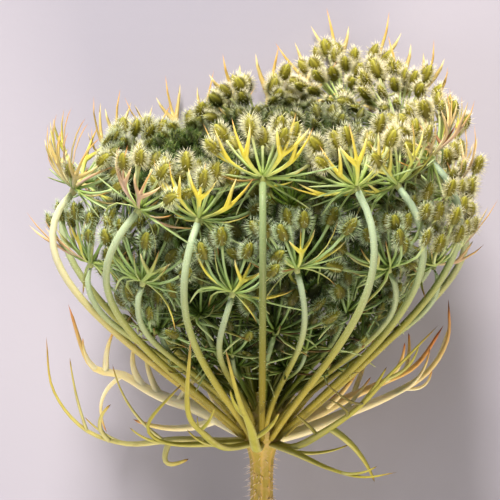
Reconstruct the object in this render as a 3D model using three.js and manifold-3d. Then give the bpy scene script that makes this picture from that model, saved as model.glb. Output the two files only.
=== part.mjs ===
// Seed head of Queen Anne's lace, cut and laid on its side. Millimetres, +Z up, head towards +Y.
//
// The plant is drawn upright in its own frame: the origin is where the rays spring, +Z runs up the
// stem and an azimuth is counted from the front (-Y) towards the right (+X). The whole plant is then
// laid down, so that it rests on the end of its stem and on two rays of its underside.

import * as THREE from 'three';
import { mergeVertices } from 'three/addons/utils/BufferGeometryUtils.js';
import Module from 'manifold-3d';

const wasm = await Module();
wasm.setup();

const DEGREE = Math.PI / 180;
const UP = new THREE.Vector3(0, 0, 1);

// ---- Driving dimensions -------------------------------------------------------------------------

const TILT = 14 * DEGREE;          // the laid stem rises towards the head
const STEM_LENGTH = 70;            // from the cut to where the rays spring
const STEM_RADIUS = 1.65;
const STEM_RIBS = 8;
const RIB_DEPTH = 0.22;

const RECEPTACLE_RADIUS = 3.5;     // the domed end of the stem that carries the rays
const RECEPTACLE_HEIGHT = 5.9;
const DOME_STEPS = [0, 22, 44, 66];    // degrees up the dome
const COLLAR_RADIUS = 2.8;         // where the bracts spring, just under the rays
const COLLAR_HEIGHT = -1.6;
const SEAT_GAP = 0.3;              // between a root and what carries it
// The ribbed part of the stem, up to its neck: each ring's radius and height.
const RIBBED = [
  [STEM_RADIUS, -STEM_LENGTH], [STEM_RADIUS, -STEM_LENGTH / 2], [STEM_RADIUS, -6],
  [STEM_RADIUS + 0.25, -3.2],
];

const RAY_ROOT_RADIUS = 0.5;
const RAY_RADIUS = 0.6;
const RAY_STATIONS = 8;
const RAY_SIDES = 4;
const ROOT_STATIONS = 2;           // over which a ray grows to its full radius
const RAY_BOWS = [0, 4, -4, 8, -8, 12, -12, 16, -16];   // degrees that a ray may bow aside
const HUB_RADIUS = 1.15;           // the knob that ends a ray
const HUB_NECK = 1.38;             // from the middle of the knob back to the last ring of its ray
const HUB_SECTORS = 8;             // places round the knob, for each ring of stalks
const HUB_EDGES = [128, 96, 60, 26];   // degrees from its axis, of the edges between its rings

const PEDICEL_RADIUS = 0.28;
const FRUIT_LENGTH = 3.1;
const FRUIT_BELLY = 1.3;           // from its base to its widest ring
const FRUIT_RADIUS = 1.15;
const FRUIT_END_RADIUS = 0.55;
// The rings of stalks on a hub: degrees from the axis where they leave it and where they end, their
// length and its variety, and whether every second place from the first or the second is filled.
const OUTER_STALKS = { leave: 86, arrive: 48, length: 7.4, variety: 0.08, first: 0 };
const MIDDLE_STALKS = { leave: 50, arrive: 26, length: 6.3, variety: 0.08, first: 1 };
const CENTRE_STALK = { leave: 0, arrive: 0, length: 4.8, variety: 0.08, first: 0 };
const BRACTEOLES = { leave: 98, arrive: 42, length: 9.6, variety: 0.15, first: 1 };
const BRACTEOLE_RADIUS = 0.36;
const SHORTER = [1, 0.85, 0.7, 0.55];  // parts of its length that a limb tries, to stay clear
const SHIFTS = [0, 0.2, -0.2];     // radians that it tries to turn aside

const BRACT_WIDTH = 1.5;
const BRACT_ROOT_WIDTH = 1.15;
const BRACT_THICKNESS = 0.75;
const BRACT_STATIONS = 8;
const BRACT_TAPER = 0.46;          // of its width lost from root to tip, before it closes
const LOBE_RADIUS = 0.36;
const LOBE_STEPS = 3;
const LOBE_LEAVE = { along: 0.75, aside: 0.65 };   // its course where it leaves the rib
const LOBE_ARRIVE = { along: 0.3, aside: 0.3 };    // its course at its tip, with its lift

const CLEARANCE = 0.35;            // between one umbellet or bract and the next
const FLOOR_CLEARANCE = 0.4;       // between the surface and what only hangs near it
const FLOOR_SOFTNESS = 0.9;        // how gently a ray bends clear of the surface
const FEET = [154, 203];           // azimuths of the two rim rays that the head rests on
const FOOT_HEIGHT = 0.1;           // of their centre lines over the surface, which cuts them flat

// ---- Where the umbellets stand ------------------------------------------------------------------

// A tier of umbellets: the ring on the receptacle where its rays spring, the elevation at which they
// leave it, how long they keep that course and the course at their end, as parts of their chord, and
// the lean of their ends towards the axis. Each umbellet of it is [azimuth, radius, height, bow].
const TIERS = [
  {
    name: 'rim', root: [4.0, 0.2], launch: 45, start: 0.42, finish: 0.36, lean: 47, spread: 1,
    stars: [
      [0, 26, 43.2, 0], [29, 26, 41.2, 3], [46, 25.5, 40.5, 4], [62, 26, 43, 4], [84, 26, 35.5, 0],
      [106, 26, 39, 0], [129, 25.5, 42, 0], [154, 27.6, 43, -2], [179, 22.5, 39, 0],
      [203, 26, 35.5, -4], [228, 26, 33.5, 0], [257, 26.5, 35.5, 0], [288, 27.5, 37.7, 0],
      [320, 26, 37.5, -8], [340, 25, 37, -2],
    ],
  },
  {
    name: 'middle', root: [3.75, 2.15], launch: 53, start: 0.42, finish: 0.3, lean: 26, spread: 1,
    stars: [
      [11, 24, 30.2, 0], [46, 24, 28.5, 2], [74, 25, 26.5, 0], [101, 25, 28.5, 0],
      [128, 24, 30, 0], [154, 22.5, 29, 0], [182, 20.5, 27, 0], [210, 21.5, 26, 0],
      [238, 23.5, 25.5, 0], [290, 25.5, 27.2, 0], [317, 24, 26.8, -2], [350, 23, 26.6, 0],
    ],
  },
  {
    name: 'lower', root: [3.2, 3.8], launch: 58, start: 0.4, finish: 0.3, lean: -6, spread: 0.9,
    stars: [
      [6, 17, 19.6, 0], [40, 18, 21.4, 0], [82, 18, 19.5, 0], [128, 17.5, 20, 0],
      [178, 16.5, 19.5, 0], [222, 17, 19, 0], [266, 18, 19.5, 0], [309, 18.5, 18.2, 0],
      [332, 18, 21.7, 0],
    ],
  },
  {
    name: 'inner', root: [2.2, 5.3], launch: 70, start: 0.4, finish: 0.35, lean: 2, spread: 0.95,
    stars: [
      [20, 12, 36, 0], [72, 13, 37, 0], [124, 12.5, 38, 0], [176, 12, 37, 0],
      [226, 12.5, 34.5, 0], [278, 13, 34, 0], [330, 12, 34.5, 0],
    ],
  },
  {
    name: 'centre', root: [0.8, 6.35], launch: 84, start: 0.4, finish: 0.35, lean: 0, spread: 0.95,
    stars: [[80, 4.5, 33, 0], [255, 4.5, 32, 0]],
  },
];

// The bracts under the head, evenly rooted round the collar from the first one's azimuth on: the
// azimuth that each takes up on its way out, its bow from there to the tip, the radius and height of
// the two points that draw its rib out and of its tip, and its lobes as [place, side, length, lift].
const FIRST_BRACT = 356;
const SWING_END = 0.4;             // part of its way by which a bract has taken up its azimuth
const BRACTS = [
  { azimuth: 356, bow: -6, way: [[9, -0.5], [23, 7.5], [28.5, 20]], lobes: [
    [0.4, 1, 7, 0.5], [0.6, -1, 6, 0.8]] },
  { azimuth: 34, bow: 16, way: [[10, -4.2], [19, -5.2], [28, -1]], lobes: [
    [0.4, -1, 8, 0.2], [0.55, 1, 9, 0.7], [0.75, -1, 6, 0.4]] },
  { azimuth: 61, bow: 2, way: [[10, -0.8], [19, 5.5], [28, 19]], lobes: [
    [0.36, 1, 12, -0.6], [0.5, -1, 11, 0.9], [0.62, 1, 10, 1], [0.76, -1, 6, 0.8]] },
  { azimuth: 93, bow: 5, way: [[14, 1], [29, 2.5], [27, 18]], lobes: [
    [0.32, -1, 9, 0.7], [0.48, 1, 10, 0.5], [0.62, -1, 10, 0.8], [0.76, 1, 7, 0.6]] },
  { azimuth: 120, bow: -4, way: [[14, 0], [28, -1], [29, 9]], lobes: [
    [0.4, 1, 10, 0.8], [0.56, -1, 9, 0.9], [0.74, 1, 7, 0.7]] },
  { azimuth: 157, bow: -8, way: [[9, -1], [19, -2], [20, 13]], lobes: [
    [0.4, -1, 8, 0.5], [0.6, 1, 7, 0.5]] },
  { azimuth: 200, bow: 8, way: [[9, -1], [19, -2], [20, 13]], lobes: [
    [0.4, 1, 8, 0.5], [0.6, -1, 7, 0.5]] },
  { azimuth: 238, bow: 8, way: [[18, -3], [35, 1], [31, 16]], lobes: [
    [0.35, -1, 10, 0.8], [0.5, 1, 12, 0.9], [0.62, -1, 9, 0.8], [0.75, 1, 8, 0.9]] },
  { azimuth: 269, bow: 1, way: [[22, -4.5], [34, -1], [30.8, 14]], lobes: [
    [0.4, 1, 9, 0.9], [0.5, -1, 11, 0.8], [0.68, 1, 10, 0.9], [0.8, -1, 6, 0.9]] },
  { azimuth: 307, bow: -12, way: [[9, -4.5], [21, -6], [19, 7]], lobes: [
    [0.45, -1, 8, 0.6], [0.6, 1, 9, 0.8], [0.78, -1, 6, 0.6]] },
  { azimuth: 327, bow: 13, way: [[12, 0], [25, 8.5], [28.5, 21]], lobes: [
    [0.5, -1, 9, 0.5], [0.72, 1, 6, 0.6]] },
];

const COLOURS = {
  peduncle: 0xa7a44f,
  rim: 0xb3c48a,
  middle: 0x9fb070,
  lower: 0x7f8f4c,
  inner: 0x8f9d57,
  centre: 0x8f9d57,
  bract: 0xc2a54a,
};
const ROUGHNESS = 0.65;

// ---- The plant's frame and the surface it lies on -----------------------------------------------

const FLOOR_NORMAL = new THREE.Vector3(0, -Math.cos(TILT), Math.sin(TILT));
const BASE_HEIGHT = STEM_RADIUS * Math.cos(TILT) + STEM_LENGTH * Math.sin(TILT);
const BASE_FORWARD = 5.35;         // of the ray base from the middle of the laid flower

/** A repeatable number from 0 to 1 for a seed. */
function chance(seed) {
  const value = Math.sin(seed * 12.9898) * 43758.5453;
  return value - Math.floor(value);
}

/** An angle brought into half a turn either way. */
function halfTurn(angle) {
  return Math.atan2(Math.sin(angle), Math.cos(angle));
}

/** The plant's point at an azimuth in radians, a distance from the axis and a height. */
function around(azimuth, radius, height) {
  return new THREE.Vector3(radius * Math.sin(azimuth), -radius * Math.cos(azimuth), height);
}

/** Bends a point clear of the surface, where it would come lower than `least` above it. */
function bentClear(point, least) {
  const height = point.dot(FLOOR_NORMAL) + BASE_HEIGHT;
  const rise = (height - least) / FLOOR_SOFTNESS;
  const bent = least + FLOOR_SOFTNESS * (Math.max(rise, 0) + Math.log1p(Math.exp(-Math.abs(rise))));
  return point.clone().addScaledVector(FLOOR_NORMAL, bent - height);
}

// ---- Solids -------------------------------------------------------------------------------------

/** Directions from each centre to the next, averaged at the centres between. */
function courses(centres) {
  return centres.map((centre, i) => {
    const before = centres[Math.max(i - 1, 0)];
    const after = centres[Math.min(i + 1, centres.length - 1)];
    return after.clone().sub(before).normalize();
  });
}

/** A closed surface that grows ring by ring. A ring's corners run anticlockwise about its course. */
class Shell {
  positions = [];

  index = [];

  /** Adds the corners of a ring and gives their numbers. */
  ring(corners) {
    return corners.map((corner) => this.positions.push(corner.x, corner.y, corner.z) / 3 - 1);
  }

  /** The place of a corner. */
  place(corner) {
    return new THREE.Vector3().fromArray(this.positions, 3 * corner);
  }

  /** Faces between two rings alike. */
  bridge(low, high) {
    low.forEach((corner, j) => {
      const next = (j + 1) % low.length;
      this.index.push(corner, low[next], high[next], corner, high[next], high[j]);
    });
  }

  /** Closes a ring, facing along its course. A tip has no ring left. */
  close(ring) {
    for (let j = 1; j + 1 < ring.length; j += 1) this.index.push(ring[0], ring[j], ring[j + 1]);
  }

  /** Grows a limb from a ring that is there, through centres with radii. A last radius of 0 is a tip. */
  grow(root, centres, radii, flatness = 1) {
    const middle = root.reduce((sum, corner) => sum.add(this.place(corner)), new THREE.Vector3())
      .divideScalar(root.length);
    const along = courses([middle, ...centres]);
    const spokes = root.map((corner) => {
      const spoke = this.place(corner).sub(middle);
      return spoke.addScaledVector(along[0], -spoke.dot(along[0])).normalize();
    });
    let low = root;
    centres.forEach((centre, i) => {
      const turn = new THREE.Quaternion().setFromUnitVectors(along[i], along[i + 1]);
      spokes.forEach((spoke) => spoke.applyQuaternion(turn));
      if (radii[i] > 0) {
        const high = this.ring(spokes.map((spoke, j) => centre.clone()
          .addScaledVector(spoke, radii[i] * (j % 2 === 1 ? flatness : 1))));
        this.bridge(low, high);
        low = high;
      } else {
        const tip = this.ring([centre])[0];
        low.forEach((corner, j) => this.index.push(corner, low[(j + 1) % low.length], tip));
        low = [];
      }
    });
    return low;
  }

  /** The corners of a ring about a centre, from a side direction across its course. */
  static corners(centre, course, side, radius, count, flatness = 1) {
    const other = new THREE.Vector3().crossVectors(course, side);
    return Array.from({ length: count }, (_, j) => {
      const angle = (j / count) * 2 * Math.PI;
      return centre.clone()
        .addScaledVector(side, radius * Math.cos(angle))
        .addScaledVector(other, radius * flatness * Math.sin(angle));
    });
  }

  /** The finished geometry. */
  geometry() {
    const geometry = new THREE.BufferGeometry();
    geometry.setAttribute('position', new THREE.Float32BufferAttribute(this.positions, 3));
    geometry.setIndex(this.index);
    return geometry;
  }
}

/** A direction made square to a course. */
function squareTo(course, direction) {
  return direction.clone().addScaledVector(course, -direction.dot(course)).normalize();
}

/** A closed solid of rings round a centre line. A last radius of zero closes it to a point. */
function limb(centres, radii, sides, flatness, sideways) {
  const shell = new Shell();
  const course = courses(centres)[0];
  const root = shell.ring(
    Shell.corners(centres[0], course, squareTo(course, sideways), radii[0], sides, flatness));
  const end = shell.grow(root, centres.slice(1), radii.slice(1), flatness);
  shell.close([...root].reverse());
  shell.close(end);
  return shell.geometry();
}

/** The manifold solid of a closed geometry. */
function solidOf(geometry) {
  const bare = geometry.clone();
  bare.deleteAttribute('normal');
  bare.deleteAttribute('uv');
  const merged = mergeVertices(bare, 1e-4);
  return new wasm.Manifold(new wasm.Mesh({
    numProp: 3,
    vertProperties: new Float32Array(merged.attributes.position.array),
    triVerts: new Uint32Array(merged.index.array),
  }));
}

/** The named mesh of a manifold solid. */
function meshOf(name, solid, colour) {
  const { vertProperties, triVerts } = solid.getMesh();
  const geometry = new THREE.BufferGeometry();
  geometry.setAttribute('position', new THREE.Float32BufferAttribute(vertProperties, 3));
  geometry.setIndex(Array.from(triVerts));
  geometry.computeVertexNormals();
  const material = new THREE.MeshStandardMaterial({ color: colour, roughness: ROUGHNESS, metalness: 0 });
  const mesh = new THREE.Mesh(geometry, material);
  mesh.name = name;
  return mesh;
}

// ---- Room between the pieces --------------------------------------------------------------------

const taken = [];                  // the stretches of every piece so far, with their owners

/** The shortest distance between two stretches a-b and c-d. */
function gapBetween(a, b, c, d) {
  const first = b.clone().sub(a);
  const second = d.clone().sub(c);
  const offset = a.clone().sub(c);
  const ff = first.dot(first);
  const ss = second.dot(second);
  const fs = first.dot(second);
  const fo = first.dot(offset);
  const so = second.dot(offset);
  const denominator = ff * ss - fs * fs;
  let s = denominator > 1e-9 ? THREE.MathUtils.clamp((fs * so - fo * ss) / denominator, 0, 1) : 0;
  let t = (fs * s + so) / ss;
  if (t < 0 || t > 1) {
    t = THREE.MathUtils.clamp(t, 0, 1);
    s = THREE.MathUtils.clamp((fs * t - fo) / ff, 0, 1);
  }
  return offset.addScaledVector(first, s).addScaledVector(second, -t).length();
}

/** The stretches of a limb, each with the larger radius of its ends. The first few may be rooted. */
function stretches(centres, radii, owner, rooted = 0) {
  return centres.slice(1).map((end, i) => ({
    start: centres[i], end, radius: Math.max(radii[i], radii[i + 1]), owner, rooted: i < rooted,
  }));
}

/** Whether a limb keeps its clearance from every piece, but for the rooted stretches of its own. */
function isClear(parts, owner) {
  return parts.every((part) => taken.every((other) => {
    if (other.owner === owner && (part.rooted || other.rooted)) return true;
    const room = part.radius + other.radius + CLEARANCE;
    const far = part.start.distanceTo(other.start) - part.start.distanceTo(part.end)
      - other.start.distanceTo(other.end);
    return far > room || gapBetween(part.start, part.end, other.start, other.end) > room;
  }));
}

// ---- Rays and umbellets -------------------------------------------------------------------------

/** The centre line of one ray, from its root on the receptacle to its star. */
function rayLine(tier, star, rootAzimuth, bow) {
  const [azimuthDegrees, radius, height] = star;
  const azimuth = azimuthDegrees * DEGREE;
  const launch = tier.launch * DEGREE;
  const lean = tier.lean * DEGREE;
  const root = new THREE.Vector2(...tier.root);
  const end = new THREE.Vector2(radius, height);
  const chord = root.distanceTo(end);
  const profile = new THREE.CubicBezierCurve(
    root,
    new THREE.Vector2(Math.cos(launch), Math.sin(launch)).multiplyScalar(chord * tier.start).add(root),
    new THREE.Vector2(Math.sin(lean), -Math.cos(lean)).multiplyScalar(chord * tier.finish).add(end),
    end,
  );
  const turn = halfTurn(azimuth - rootAzimuth);
  const line = [];
  for (let i = 0; i < RAY_STATIONS; i += 1) {
    const part = i / (RAY_STATIONS - 1);
    const place = profile.getPoint(part);
    const aside = bow * DEGREE * Math.sin(Math.PI * part);
    const swing = turn * THREE.MathUtils.smoothstep(part, 0, 1) + aside;
    line.push(around(rootAzimuth + swing, place.x, place.y));
  }
  return line;
}

/** Every ray of the head. Each is bowed aside as little as keeps it clear of those before it. */
function drawRays() {
  const drawn = [];
  for (const tier of TIERS) {
    const count = tier.stars.length;
    tier.stars.forEach((star, i) => {
      const number = drawn.length + 1;
      const rootAzimuth = (tier.stars[0][0] + (i * 360) / count) * DEGREE;
      const foot = tier.name === 'rim' && FEET.includes(star[0]);
      const least = foot ? FOOT_HEIGHT : RAY_RADIUS + FLOOR_CLEARANCE;
      const radii = Array.from({ length: RAY_STATIONS }, (_, k) => THREE.MathUtils.lerp(
        RAY_ROOT_RADIUS, RAY_RADIUS, Math.min(1, k / ROOT_STATIONS)));
      const lines = RAY_BOWS.map((bow) => rayLine(tier, star, rootAzimuth, star[3] + bow)
        .map((point) => bentClear(point, least)));
      const line = lines.find((choice) => isClear(stretches(choice, radii, number), number));
      taken.push(...stretches(line, radii, number));
      drawn.push({ tier, number, line, radii, foot });
    });
  }
  return drawn;
}

/** A direction at an angle from an axis, turned round it from a side direction. */
function fromAxis(axis, side, angle, turn) {
  const other = new THREE.Vector3().crossVectors(axis, side);
  return axis.clone().multiplyScalar(Math.cos(angle))
    .addScaledVector(side, Math.sin(angle) * Math.cos(turn))
    .addScaledVector(other, Math.sin(angle) * Math.sin(turn));
}

/** A curved line in even steps, which leaves along one direction and ends along another. */
function spray(root, leave, arrive, length, steps) {
  return Array.from({ length: steps + 1 }, (_, i) => {
    const part = i / steps;
    return root.clone()
      .addScaledVector(leave, length * (part - part * part / 2))
      .addScaledVector(arrive, length * part * part / 2);
  });
}

/** The curved stalk in one turn about a hub, as long as its own luck and the room for it say. */
function stalkLine(star, stalks, turn, shorter, seed, steps) {
  const variety = 1 + stalks.variety * (2 * chance(seed) - 1);
  const leave = fromAxis(star.axis, star.side, stalks.leave * star.spread * DEGREE, turn);
  const arrive = fromAxis(star.axis, star.side, stalks.arrive * star.spread * DEGREE, turn);
  return spray(star.hub, leave, arrive, stalks.length * shorter * variety, steps);
}

/** The line and radii of a stalk with its fruit, from the hub. */
function fruitLine(star, stalks, turn, shorter, seed) {
  const leave = fromAxis(star.axis, star.side, stalks.leave * star.spread * DEGREE, turn);
  const arrive = fromAxis(star.axis, star.side, stalks.arrive * star.spread * DEGREE, turn);
  const [root, neck] = stalkLine(star, stalks, turn, shorter, seed, 1);
  const course = arrive.multiplyScalar(2).add(leave).normalize();
  const centres = [
    root,
    neck,
    neck.clone().addScaledVector(course, FRUIT_BELLY),
    neck.clone().addScaledVector(course, FRUIT_LENGTH),
  ];
  return { centres, radii: [PEDICEL_RADIUS, PEDICEL_RADIUS, FRUIT_RADIUS, FRUIT_END_RADIUS] };
}

/** The line and radii of a bracteole, from the hub. */
function bracteoleLine(star, stalks, turn, shorter, seed) {
  const centres = stalkLine(star, stalks, turn, shorter, seed, 2);
  return { centres, radii: [BRACTEOLE_RADIUS, BRACTEOLE_RADIUS, 0] };
}

/** Settles one limb of an umbellet at its full length or a shorter one, where it is clear. */
function settled(star, stalks, turn, seed, makeLine) {
  for (const shorter of SHORTER) {
    for (const shift of SHIFTS) {
      const { centres, radii } = makeLine(star, stalks, turn + shift, shorter, seed);
      const bent = centres.map((point, i) => bentClear(point, radii[i] + FLOOR_CLEARANCE));
      bent[0] = star.hub;
      const run = stretches(bent, radii, star.owner, 1);
      if (isClear(run, star.owner)) {
        taken.push(...run);
        return { centres: bent.slice(1), radii: radii.slice(1) };
      }
    }
  }
  return null;
}

/** The middle of a sector of the hub, as a turn round its axis. */
function sectorTurn(sector) {
  return ((sector + 0.5) / HUB_SECTORS) * 2 * Math.PI;
}

/** Settles the limbs of one ring of an umbellet, in every second sector. */
function settleRing(star, stalks, makeLine) {
  const limbs = new Array(HUB_SECTORS).fill(null);
  for (let sector = stalks.first; sector < HUB_SECTORS; sector += 2) {
    const seed = star.seed + 7 * sector + stalks.leave;
    limbs[sector] = settled(star, stalks, sectorTurn(sector), seed, makeLine);
  }
  return limbs;
}

/** Adds the rings of a ray, from its root to the neck of its hub. */
function addRay(shell, { line, radii, star }) {
  const neck = star.hub.clone().addScaledVector(star.axis, -HUB_NECK);
  const back = [...line.slice(0, -1), neck].reverse();
  const along = courses(back);
  const spoke = squareTo(along[0], star.side);
  const rings = back.map((point, i) => {
    if (i > 0) spoke.applyQuaternion(new THREE.Quaternion().setFromUnitVectors(along[i - 1], along[i]));
    const forward = along[i].clone().negate();
    const radius = radii[radii.length - 1 - i];
    return shell.ring(Shell.corners(point, forward, squareTo(forward, spoke), radius, RAY_SIDES));
  }).reverse();
  shell.close([...rings[0]].reverse());
  for (let i = 0; i + 1 < rings.length; i += 1) shell.bridge(rings[i], rings[i + 1]);
  return rings[rings.length - 1];
}

/** Joins the neck of a ray to the first edge of its hub, which has twice as many corners. */
function addNeck(shell, neck, edge) {
  neck.forEach((corner, k) => {
    const next = neck[(k + 1) % neck.length];
    const [near, between, far] = [edge[2 * k], edge[2 * k + 1], edge[(2 * k + 2) % edge.length]];
    shell.index.push(corner, next, between, corner, between, near, next, far, between);
  });
}

/** Closes a face of the hub, or grows the limb that springs from it. */
function growFrom(shell, face, grown) {
  shell.close(grown ? shell.grow(face, grown.centres, grown.radii) : face);
}

/** The solid of one umbellet: its ray, the hub at its end, and the limbs that grow from the hub. */
function umbelletSolid(ray) {
  const { hub, axis, side, rings, centre } = ray.star;
  const shell = new Shell();
  const edges = HUB_EDGES.map((degrees) => shell.ring(Shell.corners(
    hub.clone().addScaledVector(axis, HUB_RADIUS * Math.cos(degrees * DEGREE)),
    axis, side, HUB_RADIUS * Math.sin(degrees * DEGREE), HUB_SECTORS)));
  addNeck(shell, addRay(shell, ray), edges[0]);
  rings.forEach((limbs, r) => limbs.forEach((grown, j) => {
    const next = (j + 1) % HUB_SECTORS;
    growFrom(shell, [edges[r][j], edges[r][next], edges[r + 1][next], edges[r + 1][j]], grown);
  }));
  const top = edges[edges.length - 1];
  for (let k = 0; k < HUB_SECTORS; k += 2) shell.close([top[k], top[k + 1], top[(k + 2) % HUB_SECTORS]]);
  growFrom(shell, top.filter((_, k) => k % 2 === 0), centre);
  const whole = solidOf(shell.geometry());
  return ray.foot ? whole.trimByPlane(FLOOR_NORMAL.toArray(), -BASE_HEIGHT) : whole;
}

// ---- Stem and bracts ----------------------------------------------------------------------------

/** The ribbed stem with its domed receptacle. */
function peduncleSolid() {
  const dome = DOME_STEPS.map((degrees) => [
    RECEPTACLE_RADIUS * Math.cos(degrees * DEGREE), RECEPTACLE_HEIGHT * Math.sin(degrees * DEGREE)]);
  const profile = [...RIBBED, [COLLAR_RADIUS, COLLAR_HEIGHT], ...dome, [0, RECEPTACLE_HEIGHT]];
  const centres = profile.map(([, height]) => new THREE.Vector3(0, 0, height));
  const radii = profile.map(([radius]) => radius);
  const corners = 2 * STEM_RIBS;
  const geometry = limb(centres, radii, corners, 1, new THREE.Vector3(0, 1, 0));
  const position = geometry.attributes.position;
  const groove = 1 - RIB_DEPTH / STEM_RADIUS;
  for (let i = 1; i < RIBBED.length * corners; i += 2) {
    position.setXY(i, position.getX(i) * groove, position.getY(i) * groove);
  }
  return solidOf(geometry);
}

/** The centre line of a bract's rib, from under the rays out and up to its tip. */
function bractLine({ azimuth, bow, way }, number) {
  const rootAzimuth = (FIRST_BRACT + ((number - 1) * 360) / BRACTS.length) * DEGREE;
  const turn = halfTurn(azimuth * DEGREE - rootAzimuth);
  const root = new THREE.Vector2(COLLAR_RADIUS + SEAT_GAP, COLLAR_HEIGHT);
  const profile = new THREE.CubicBezierCurve(root, ...way.map((point) => new THREE.Vector2(...point)));
  return Array.from({ length: BRACT_STATIONS }, (_, i) => {
    const part = i / (BRACT_STATIONS - 1);
    const place = profile.getPoint(part);
    const swing = turn * THREE.MathUtils.smoothstep(part, 0, SWING_END) + bow * DEGREE * part * part;
    return bentClear(around(rootAzimuth + swing, place.x, place.y), LOBE_RADIUS + FLOOR_CLEARANCE);
  });
}

/** The centre line of a lobe, at a place of the rib's curve and to one side of it. */
function lobeLine(curve, [place, side, length, lift], sideways, shorter) {
  const course = curve.getTangent(place);
  const leave = course.clone().multiplyScalar(LOBE_LEAVE.along)
    .addScaledVector(sideways, side * LOBE_LEAVE.aside)
    .normalize();
  const arrive = course.clone().multiplyScalar(LOBE_ARRIVE.along)
    .addScaledVector(sideways, side * LOBE_ARRIVE.aside)
    .addScaledVector(UP, lift)
    .normalize();
  return spray(curve.getPoint(place), leave, arrive, length * shorter, LOBE_STEPS)
    .map((point) => bentClear(point, LOBE_RADIUS + FLOOR_CLEARANCE));
}

/** The solid of one pinnate bract: a flat rib with the lobes that there is room for. */
function bractSolid(bract, number) {
  const owner = -number;
  const rib = bractLine(bract, number);
  const curve = new THREE.CatmullRomCurve3(rib);
  const ribRadii = rib.map((_, i) => BRACT_WIDTH / 2 * (1 - BRACT_TAPER * i / (rib.length - 1)));
  ribRadii[0] = BRACT_ROOT_WIDTH / 2;
  ribRadii[rib.length - 1] = 0;
  const sideways = new THREE.Vector3().crossVectors(UP, around(bract.azimuth * DEGREE, 1, 0));
  const solids = [solidOf(limb(rib, ribRadii, 4, BRACT_THICKNESS / BRACT_WIDTH, sideways))];
  taken.push(...stretches(rib, ribRadii, owner, rib.length));
  const radii = [...new Array(LOBE_STEPS).fill(LOBE_RADIUS), 0];
  for (const lobe of bract.lobes) {
    const line = SHORTER.map((shorter) => lobeLine(curve, lobe, sideways, shorter))
      .find((choice) => isClear(stretches(choice, radii, owner, choice.length), owner));
    if (line) {
      taken.push(...stretches(line, radii, owner, line.length));
      solids.push(solidOf(limb(line, radii, 3, 1, UP)));
    }
  }
  return wasm.Manifold.union(solids);
}

// ---- The flower ---------------------------------------------------------------------------------

/** A number as two digits. */
function twoDigits(number) {
  return String(number).padStart(2, '0');
}

const flower = new THREE.Group();
flower.rotation.x = TILT - Math.PI / 2;
flower.position.set(0, BASE_FORWARD, BASE_HEIGHT);

flower.add(meshOf('peduncle', peduncleSolid(), COLOURS.peduncle));

const rays = drawRays();
BRACTS.forEach((bract, i) => {
  flower.add(meshOf(`bract_${twoDigits(i + 1)}`, bractSolid(bract, i + 1), COLOURS.bract));
});
for (const ray of rays) {
  const hub = ray.line[RAY_STATIONS - 1];
  const axis = hub.clone().sub(ray.line[RAY_STATIONS - 2]).normalize();
  const side = UP.clone().cross(axis).normalize();
  ray.star = { hub, axis, side, owner: ray.number, seed: ray.number * 1.7, spread: ray.tier.spread };
  const end = hub.clone().addScaledVector(axis, HUB_RADIUS / 100);
  taken.push({ start: hub, end, radius: HUB_RADIUS, owner: ray.number, rooted: true });
}
for (const { star } of rays) {
  const outer = settleRing(star, OUTER_STALKS, fruitLine);
  const middle = settleRing(star, MIDDLE_STALKS, fruitLine);
  star.centre = settled(star, CENTRE_STALK, 0, star.seed, fruitLine);
  star.rings = [null, outer, middle];
}
for (const ray of rays) {
  ray.star.rings[0] = settleRing(ray.star, BRACTEOLES, bracteoleLine);
  const name = `umbellet_${twoDigits(ray.number)}`;
  flower.add(meshOf(name, umbelletSolid(ray), COLOURS[ray.tier.name]));
}

export default flower;
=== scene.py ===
"""A cut head of Queen Anne's lace in seed, laid on its side: the finished look of the part.

Lengths are in millimetres in the plant's own frame, which has its origin where the rays spring, +Z up
the stem, and azimuths in degrees from the front (-Y) towards the right (+X). LaidFrame turns them into
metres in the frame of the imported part.
"""

from __future__ import annotations

import logging
import math
from collections.abc import Callable
from dataclasses import dataclass, field
from enum import Enum, IntEnum

import bmesh
import bpy
import numpy as np
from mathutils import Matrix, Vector


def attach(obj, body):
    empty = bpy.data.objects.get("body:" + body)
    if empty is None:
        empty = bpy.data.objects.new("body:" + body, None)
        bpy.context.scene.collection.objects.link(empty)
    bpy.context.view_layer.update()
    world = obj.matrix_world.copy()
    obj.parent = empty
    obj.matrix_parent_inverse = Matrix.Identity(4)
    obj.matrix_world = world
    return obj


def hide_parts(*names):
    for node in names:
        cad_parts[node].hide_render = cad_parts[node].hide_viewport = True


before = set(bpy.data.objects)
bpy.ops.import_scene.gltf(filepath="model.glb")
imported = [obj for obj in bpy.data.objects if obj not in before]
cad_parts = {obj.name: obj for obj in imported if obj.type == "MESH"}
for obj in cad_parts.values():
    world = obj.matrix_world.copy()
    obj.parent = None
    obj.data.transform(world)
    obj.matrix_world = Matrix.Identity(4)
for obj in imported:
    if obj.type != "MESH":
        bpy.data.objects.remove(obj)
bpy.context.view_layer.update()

log = logging.getLogger("flower")

Colour = tuple[float, float, float, float]
Pair = tuple[float, float]
Row = tuple[float, ...]
Direction = tuple[float, float, float]
Tint = tuple[float, float, float]  # warmth, blush and luck, which a finish reads
Vec = np.ndarray  # a place or a direction
Line = np.ndarray  # points, one after another
Values = float | np.ndarray
Profile = tuple[Pair, ...]  # heights, and the radius at each
Stops = tuple[tuple[float, str], ...]  # places along a run of colours, and the colour at each
Runs = tuple[Stops, ...]
Socket = bpy.types.NodeSocket
Feed = Socket | str | float  # what an input takes: a link, a colour's code or a number
Material = bpy.types.Material

DEGREE = math.pi / 180
TURN = 2 * math.pi
METRE = 0.001  # of a millimetre
UP = np.array([0.0, 0.0, 1.0])
LEVEL = np.array([1, 1, 0])  # what leaves a point's place across the axis alone
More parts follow.
